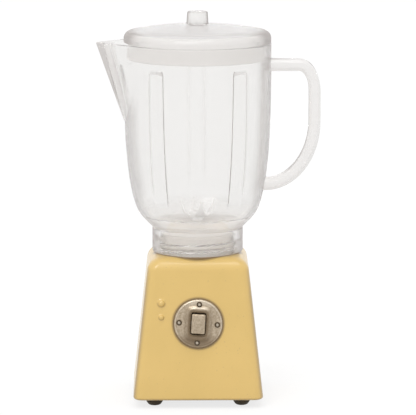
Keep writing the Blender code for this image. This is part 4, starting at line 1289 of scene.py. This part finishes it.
def cut_pockets(jar):
    """The two shallow pockets in the wall that the handle's ends sit in."""
    for height in (jar_rim - HANDLE_TOP_DROP, jar_floor_low + HANDLE_FOOT_RISE):
        surface = jar_radius(height - jar_floor_low) - HANDLE_SINK - SEAT_GAP
        halves = (CUTTER_OVERRUN, HANDLE_WIDTH / 2 + SEAT_GAP)
        half = HANDLE_THICKNESS / 2 + SEAT_GAP
        pocket = block("pocket", halves, height - half, height + half)
        place_mesh(pocket, Matrix.Translation((axis_x + surface + CUTTER_OVERRUN, 0, 0)))
        cut(jar, pocket)
    jar.data.set_sharp_from_angle(angle=SHARP_ANGLE)


def about_axis(place):
    """A place's angle and distance about the jar's axis, and its height above the jar's foot."""
    across = place.x - axis_x
    return math.atan2(place.y, across), math.hypot(across, place.y), place.z - jar_floor_low


def jar_frost(vert):
    """The jar is left dull on its boss, and inside it on the floor and up to the ragged seam."""
    angle, reach, height = about_axis(vert.co)
    if height < SEAT_GAP:
        return 1
    inside = reach < jar_radius(height) - JAR_WALL / 2
    return SEAM_DULL if inside and height < seam_line(angle) and vert.co.y < reach / 3 else 0


def in_spout(place):
    """A place's angle from the spout's middle, half the angle that the spout takes there, and its height."""
    angle, _, height = about_axis(place)
    return math.pi - abs(angle), spout_angle(height), height


def keel_band(place):
    """A painted grey band on the spout's outside stands for the solid plastic behind its edge, with a
    painted dark line on its inner side.

    It gives the share of the dark line and of the band.
    """
    off, turn, height = in_spout(place)
    if off >= turn:
        return 0, 0
    radius = jar_radius(height)
    reach = math.hypot(place.x - axis_x, place.y)
    if reach < radius / math.cos(turn - off) - JAR_WALL * 0.6:
        return 0, 0
    tip = radius / math.cos(turn)
    across = math.hypot(place.x - axis_x + tip, place.y)
    width = KEEL_BAND * (0.2 + 0.8 * (tip - radius) / (SPOUT_REACH - JAR_RADIUS))
    line = smooth_step(1 - abs(across - width) / KEEL_LINE)
    band = smooth_step((width - across) / KEEL_LINE)
    return max(KEEL_BAND_SHADE * band, line) * smooth_step(turn * 6), band * smooth_step(turn * 6)


def even_places(place):
    """How far a place is in the spout, and how far at the back of the jar's rounded foot."""
    off, turn, height = in_spout(place)
    low_down = smooth_step((RIB_START * 1.5 - height) / RIB_START)
    return smooth_step((turn - off) * 12), low_down * smooth_step(place.y / JAR_RADIUS * 4)


def thin_haze(place):
    return max(even_places(place))


def rib_flank(place):
    """How far a place lies on a rib's flank, and none on its crest and on the wall beside it."""
    angle, reach, height = about_axis(place)
    rib_top = JAR_HEIGHT - RIB_TOP_DROP
    if jar_radius(height) - reach <= JAR_WALL / 2 or not JAR_FLOOR < height < rib_top:
        return 0
    share = rib_share(angle, height)
    faded = smooth_step((height - RIB_START) / RIB_START_FADE)
    return share * max(0, faded - share) * smooth_step((rib_top - height) / RIB_TOP_FADE)


def faces_inwards(place):
    """Whether a place is on the side of a front rib that is nearer the jar's middle."""
    return place.y < 0 and beside_rib(about_axis(place)[0]) * (place.x - axis_x) < 0


def jar_lines(vert):
    """Painted dark lines on the ribs' flanks and the spout's keel, where refraction shows them dark, and the
    glue round the handle's foot.
    """
    place = vert.co
    line = OUTER_LINE
    if faces_inwards(place):
        line = INNER_LINE_LEFT if place.x < axis_x else INNER_LINE_RIGHT
    handle_foot = (axis_x + jar_radius(HANDLE_FOOT_RISE), 0, jar_floor_low + HANDLE_FOOT_RISE)
    from_foot = (place - Vector(handle_foot)).length
    glue = smooth_step((GLUE_REACH - from_foot) / GLUE_REACH) * smooth_step(noise.noise(place * 2200) * 4)
    return max(line * rib_flank(place), glue, keel_band(place)[0])


def jar_dense(vert):
    """The dense haze of the keel, the spout near its tip, the back of the foot and the ribs' flanks."""
    place = vert.co
    spread = INNER_SPREAD if faces_inwards(place) else OUTER_SPREAD
    flank = RIB_DENSE * min(1, spread * rib_flank(place))
    height = about_axis(place)[2]
    tip = jar_radius(height) / math.cos(spout_angle(height))
    from_tip = math.hypot(place.x - axis_x + tip, place.y)
    spout, back = even_places(place)
    spout *= smooth_step((SPOUT_DENSE_REACH - from_tip) / KEEL_BAND)
    return max(KEEL_DENSE * keel_band(place)[1], SPOUT_DENSE * spout, FOOT_DENSE * back, flank)


def make_handle():
    """The handle's bar: a chamfered section carried along two straight runs and two elliptical bends."""
    top = jar_rim - HANDLE_TOP_DROP
    foot = jar_floor_low + HANDLE_FOOT_RISE
    side = HANDLE_REACH - HANDLE_THICKNESS / 2
    corner = (side - HANDLE_CORNER[0], top - HANDLE_CORNER[1])
    belly = (side - HANDLE_BELLY[0], foot + HANDLE_BELLY[1])
    path = [
        (jar_radius(top - jar_floor_low) - HANDLE_SINK, top),
        *arc(corner, *HANDLE_CORNER, 90, 0, 24),
        *arc(belly, *HANDLE_BELLY, 0, -90, 40),
        (jar_radius(foot - jar_floor_low) - HANDLE_SINK, foot),
    ]
    half_width, half_thickness = HANDLE_WIDTH / 2, HANDLE_THICKNESS / 2
    cut_wide, cut_thick = half_width - HANDLE_CHAMFER, half_thickness - HANDLE_CHAMFER
    corners = []
    for u, v in SQUARE:
        side_corner = (u * half_width, v * cut_thick, SMALL_ROUND)
        face_corner = (u * cut_wide, v * half_thickness, SMALL_ROUND)
        corners += [side_corner, face_corner] if u * v > 0 else [face_corner, side_corner]
    section = soften(corners, closed=True, steps=3)
    rings = []
    for i, (x, z) in enumerate(path):
        before = Vector(path[max(i - 1, 0)])
        after = Vector(path[min(i + 1, len(path) - 1)])
        along = (after - before).normalized()
        if i in (0, len(path) - 1):
            along = Vector((1 if i == 0 else -1, 0))
        square = Vector((-along.y, along.x))
        rings.append([(axis_x + x + square.x * v, u, z + square.y * v) for u, v in section])
    dress(skin("clear_handle", rings), CLEAR_HANDLE, "jar", "handle", slot="clear_plastic")


# Blade


def make_blade_pin():
    """The headed pin through the jar's floor, with a flange under the blade and a head below the boss."""
    floor = jar_floor_low + JAR_FLOOR
    low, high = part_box("blade_pin")
    radius = (high.x - low.x) / 2
    shaft = PIN_HOLE - SEAT_GAP
    hub_top = rotor_low.z + HUB_HEIGHT + SEAT_GAP
    tail = jar_floor_low - JAR_BOSS_HEIGHT - SEAT_GAP
    outline = soften(
        [
            (0, high.z, 0),
            (radius * 0.9, high.z, radius * 0.35),
            (radius * 0.9, hub_top, SMALL_ROUND),
            (shaft, hub_top, 0),
            (shaft, rotor_low.z - SEAT_GAP, 0),
            (radius, rotor_low.z - SEAT_GAP, SMALL_ROUND),
            (radius, floor + SEAT_GAP, SMALL_ROUND),
            (shaft, floor + SEAT_GAP, 0),
            (shaft, tail, 0),
            (radius, tail, SMALL_ROUND),
            (radius, low.z, SMALL_ROUND),
            (0, low.z, 0),
        ]
    )
    dress(turned("clear_pin", outline, 48), FROSTED, "spindle", "blade_pin", slot="clear_plastic")


def blade_arm():
    """One arm: a thin leaf that runs level out of the hub and bends up to a blunt point."""
    rings = []
    steps = 24
    section = soften([(u, v, 0.5) for u, v in SQUARE], closed=True, steps=3)
    start, bend, tip = Vector(BLADE_ROOT), Vector(BLADE_BEND), Vector(BLADE_TIP)
    for i in range(steps + 1):
        t = i / steps
        middle = start * (1 - t) ** 2 + bend * 2 * t * (1 - t) + tip * t**2
        along = ((bend - start) * (1 - t) + (tip - bend) * t).normalized()
        square = Vector((-along.y, along.x)) * BLADE_THICKNESS / 2 * (1 - 0.35 * t)
        narrowing = 1 - 0.88 * smooth_step((t - 0.35) / 0.65)
        width = BLADE_WIDTH / 2 * (0.8 + 0.2 * smooth_step(t * 4)) * narrowing
        ring = []
        for u, v in section:
            point = middle + square * v
            ring.append((point.x, width * u, point.y))
        rings.append(ring)
    return rings


def make_blade():
    """The bored hub with its four arms."""
    outline = soften(
        [
            (HUB_BORE, HUB_HEIGHT, 0),
            (HUB_RADIUS, HUB_HEIGHT, EDGE_ROUND),
            (HUB_RADIUS, 0, SMALL_ROUND),
            (HUB_BORE, 0, 0),
        ],
        closed=True,
    )
    rotor = turned("clear_blade", outline, 64, middle=0)
    for i in range(BLADE_COUNT):
        arm = skin(f"arm_{i}", blade_arm())
        place_mesh(arm, Matrix.Rotation(BLADE_TURN + math.tau * i / BLADE_COUNT, 4, "Z"))
        cut(rotor, arm, "UNION")
    rotor.data.shade_smooth()
    rotor.data.set_sharp_from_angle(angle=SHARP_ANGLE)
    place_mesh(rotor, Matrix.Translation((axis_x, 0, rotor_low.z)))
    dress(rotor, FROSTED, "blade", "blade_rotor", slot="clear_plastic")


# Lid


def make_lid():
    """The convex cover with its rounded edge, and the skirt that goes into the jar."""
    skirt_low = lid_low - SKIRT_DEPTH
    skirt_bore = SKIRT_RADIUS - SKIRT_WALL
    bead_middle = LID_RADIUS - BEAD_RADIUS
    bead = lid_low + LID_EDGE
    slope = math.asin(DOME_SLOPE)
    dome_edge = bead_middle + BEAD_RADIUS * math.sin(slope)
    drop = dome_edge * math.tan(slope) / 2
    dome_top = bead + BEAD_RADIUS * math.cos(slope) + drop
    hole = KNOB_STEM + SEAT_GAP / 2

    def dome(radius):
        return dome_top - drop * (radius / dome_edge) ** 2

    fine = CREASE_RADIUS - 2 * CREASE_HALF
    radii = [hole + (fine - hole) * i / 30 for i in range(30)]
    radii += [fine + (dome_edge - fine) * i / 26 for i in range(26)]
    outline = [(radius, dome(radius)) for radius in radii]
    outline += arc((bead_middle, bead), BEAD_RADIUS, BEAD_RADIUS, 90 - math.degrees(slope), 0, 20)
    outline += soften(
        [
            (LID_RADIUS, bead, 0),
            (LID_RADIUS, lid_low, SMALL_ROUND),
            (SKIRT_RADIUS, lid_low, SMALL_ROUND),
            (SKIRT_RADIUS, skirt_low, EDGE_ROUND),
            (skirt_bore, skirt_low, EDGE_ROUND),
            (skirt_bore, dome(skirt_bore) - LID_WALL, EDGE_ROUND * 2),
            (hole, dome_top - LID_WALL, 0),
        ]
    )[1:-1]
    reach = skirt_bore - EDGE_ROUND * 2 - hole
    radii = [hole + reach * (1 - i / 30) for i in range(31)]
    outline += [(radius, dome(radius) - LID_WALL) for radius in radii]
    cover = turned("clear_lid", outline, 200)

    def crease(vert):
        """A painted dark line round the front of the dome for its crease, which runs outwards, and painted
        shade on its shoulders.
        """
        across = Vector((vert.co.x - axis_x, vert.co.y))
        if vert.co.z <= bead or across.length <= CREASE_RADIUS / 2 or vert.normal.z <= 0:
            return 0
        turn = from_front(across)
        off = across.length - CREASE_RADIUS - CREASE_SPREAD * min(turn, 1) ** 2.5
        line = CREASE_SHADE * smooth_step(1 - abs(off) / CREASE_HALF) * smooth_step(4 - 3.4 * turn)
        sideways = smooth_step((abs(across.x) / across.length - 0.58) / 0.36)
        outwards = smooth_step((across.length - CREASE_RADIUS) / CREASE_SPREAD)
        return max(line, SHOULDER_SHADE * sideways * outwards)

    def pale(vert):
        """The frosted skirt, and a painted highlight band on the edge's front."""
        across = Vector((vert.co.x - axis_x, vert.co.y))
        if vert.co.z < lid_low:
            return SKIRT_LIGHT
        on_edge = across.length > bead_middle and lid_low < vert.co.z < bead + BEAD_RADIUS * 0.9
        return BAND_HIGHLIGHT * smooth_step((1.15 - from_front(across)) * 3) if on_edge else 0

    mark(cover, "edge", crease)
    mark(cover, "frost", pale)
    dress(cover, CLEAR_LID, "lid", "lid", slot="clear_plastic", thin=lambda place: place.z < lid_low)


def from_front(across):
    """How far round from the front a place on the lid is, one at the end of the crease."""
    return abs(math.atan2(across.x, -across.y)) / CREASE_REACH


def make_knob():
    """The knob, with the stem that holds it in the lid."""
    low = lid_top + SEAT_GAP
    high = low + KNOB_HEIGHT
    outline = soften(
        [
            (0, high, 0),
            (KNOB_HEAD, high, KNOB_ROUND),
            (KNOB_FOOT, low, SMALL_ROUND),
            (KNOB_STEM, low, 0),
            (KNOB_STEM, lid_top - LID_WALL, SMALL_ROUND),
            (0, lid_top - LID_WALL, 0),
        ],
        steps=8,
    )
    dress(turned("clear_knob", outline, 96), CLEAR_KNOB, "lid", "lid_knob", slot="clear_plastic")


def dress_fixings():
    """The pieces whose solids already have their shape take only a finish."""
    nodes = frame["nodes"]
    finishes = {"bottom_plate": DARK, "bottom_screw_left": STEEL, "bottom_screw_right": STEEL}
    finishes.update(spigot_washer=STEEL, spigot_screw=STEEL, rocker_pin=STEEL)
    for name, material in finishes.items():
        nodes[name].data.materials.clear()
        nodes[name].data.materials.append(material)


# Studio


def make_floor():
    """A pale floor that partly glows in what the camera, glass and metal see, and still takes a shadow."""
    bm = bmesh.new()
    bmesh.ops.create_grid(bm, x_segments=1, y_segments=1, size=FLOOR_HALF)
    floor = finished("floor", bm)
    material = bpy.data.materials.new("floor")
    material.use_nodes = True
    tree = material.node_tree
    tree.nodes.clear()
    output = tree.nodes.new("ShaderNodeOutputMaterial")
    diffuse = tree.nodes.new("ShaderNodeBsdfDiffuse")
    diffuse.inputs["Color"].default_value = (FLOOR_GREY, FLOOR_GREY, FLOOR_GREY, 1)
    glow = tree.nodes.new("ShaderNodeEmission")
    glow.inputs["Strength"].default_value = FLOOR_GLOW
    share = tree.nodes.new("ShaderNodeMath")
    share.operation = "MULTIPLY"
    share.inputs[1].default_value = FLOOR_GLOW_SHARE
    mix = tree.nodes.new("ShaderNodeMixShader")
    tree.links.new(seen_rays(tree), share.inputs[0])
    tree.links.new(share.outputs[0], mix.inputs["Fac"])
    tree.links.new(diffuse.outputs[0], mix.inputs[1])
    tree.links.new(glow.outputs[0], mix.inputs[2])
    tree.links.new(mix.outputs[0], output.inputs["Surface"])
    floor.data.materials.append(material)


def seen_rays(tree):
    """One where a ray comes from the camera, a reflection or a refraction, and nothing elsewhere."""
    path = tree.nodes.new("ShaderNodeLightPath")
    total = path.outputs["Is Camera Ray"]
    for name in ("Is Glossy Ray", "Is Transmission Ray"):
        largest = tree.nodes.new("ShaderNodeMath")
        largest.operation = "MAXIMUM"
        tree.links.new(total, largest.inputs[0])
        tree.links.new(path.outputs[name], largest.inputs[1])
        total = largest.outputs[0]
    return total


def make_world():
    """An even white room, at full strength where the camera, glass and metal see it."""
    world = bpy.data.worlds.new("studio")
    bpy.context.scene.world = world
    world.use_nodes = True
    tree = world.node_tree
    background = tree.nodes["Background"]
    mix = tree.nodes.new("ShaderNodeMix")
    mix.inputs["A"].default_value = ROOM_LIGHT
    mix.inputs["B"].default_value = 1
    tree.links.new(seen_rays(tree), mix.inputs["Factor"])
    tree.links.new(mix.outputs[0], background.inputs["Strength"])
    background.inputs["Color"].default_value = (1, 1, 1, 1)


def make_softboxes():
    """Large soft lights, far off, so that they fall evenly on the floor."""
    for name, (towards, spread, strength) in SOFTBOXES.items():
        data = bpy.data.lights.new(name, "SUN")
        data.angle = spread
        data.energy = strength
        lamp = linked(name, data)
        lamp.location = towards
        lamp.rotation_euler = Vector(towards).to_track_quat("Z", "Y").to_euler()


def make_camera():
    """The camera at the photograph's angle, looking slightly down from in front of the jar."""
    back = Vector((math.sin(CAMERA_TURN), -math.cos(CAMERA_TURN), 0))
    side = Vector((math.cos(CAMERA_TURN), math.sin(CAMERA_TURN), 0))
    data = bpy.data.cameras.new("camera")
    data.sensor_width = 36
    data.sensor_fit = "HORIZONTAL"
    data.lens = data.sensor_width * FOCAL_PIXELS / IMAGE_WIDTH_PIXELS
    data.clip_end = 20
    camera = linked("camera", data)
    camera.location = Vector((axis_x, 0, CAMERA_HEIGHT)) + back * CAMERA_BACK + side * CAMERA_SIDE
    camera.rotation_euler = (math.pi / 2 - CAMERA_PITCH, 0, CAMERA_TURN)
    bpy.context.scene.camera = camera


PAINT = paint("pale_yellow_enamel")
SILVER = antique_silver("antique_silver")
RUBBER = rubber("brown_rubber")
DARK = dark_plastic("dark_plastic")
STEEL = plated_steel("plated_steel")
CLEAR_JAR = clear_plastic("clear_jar", (0.08, 0.14), 0.12, 0.42)
CLEAR_LID = clear_plastic(
    "clear_lid", (0.05, 0.08), 0.32, 0.78, turn=(0.36, 0.54), waviness=0, colour=linear(230, 227, 226)
)
CLEAR_KNOB = clear_plastic(
    "clear_knob", (0.1, 0.16), 0.3, 0.85, turn=(0.25, 0.75), waviness=0, edge=linear(166, 160, 157)
)
CLEAR_COLLAR = clear_plastic(
    "clear_collar", (0.12, 0.18), 0.14, 0.62, turn=(0.3, 0.7), edge=linear(192, 185, 183)
)
CLEAR_HANDLE = clear_plastic("clear_handle", (0.08, 0.14), 0.45, 0.6, turn=(0.5, 0.8), waviness=0)
FROSTED = clear_plastic(
    "frosted_blade", (0.25, 0.35), 0.8, 0.8, colour=linear(254, 253, 252), edge=linear(246, 244, 242)
)
# The neck's dark edge colour paints the shade under the thread's ridge
NECK = clear_plastic(
    "frosted_neck", (0.3, 0.4), 0.6, 0.85, colour=linear(240, 235, 229), edge=linear(104, 92, 78)
)
COLUMNS = jar_columns()

make_housing()
make_pips()
make_switch()
make_rivets()
make_feet()
make_spigot()
make_collar()
make_jar()
make_handle()
make_blade_pin()
make_blade()
make_lid()
make_knob()
dress_fixings()

make_floor()
make_world()
make_softboxes()
make_camera()
bpy.context.scene.view_settings.view_transform = "Standard"
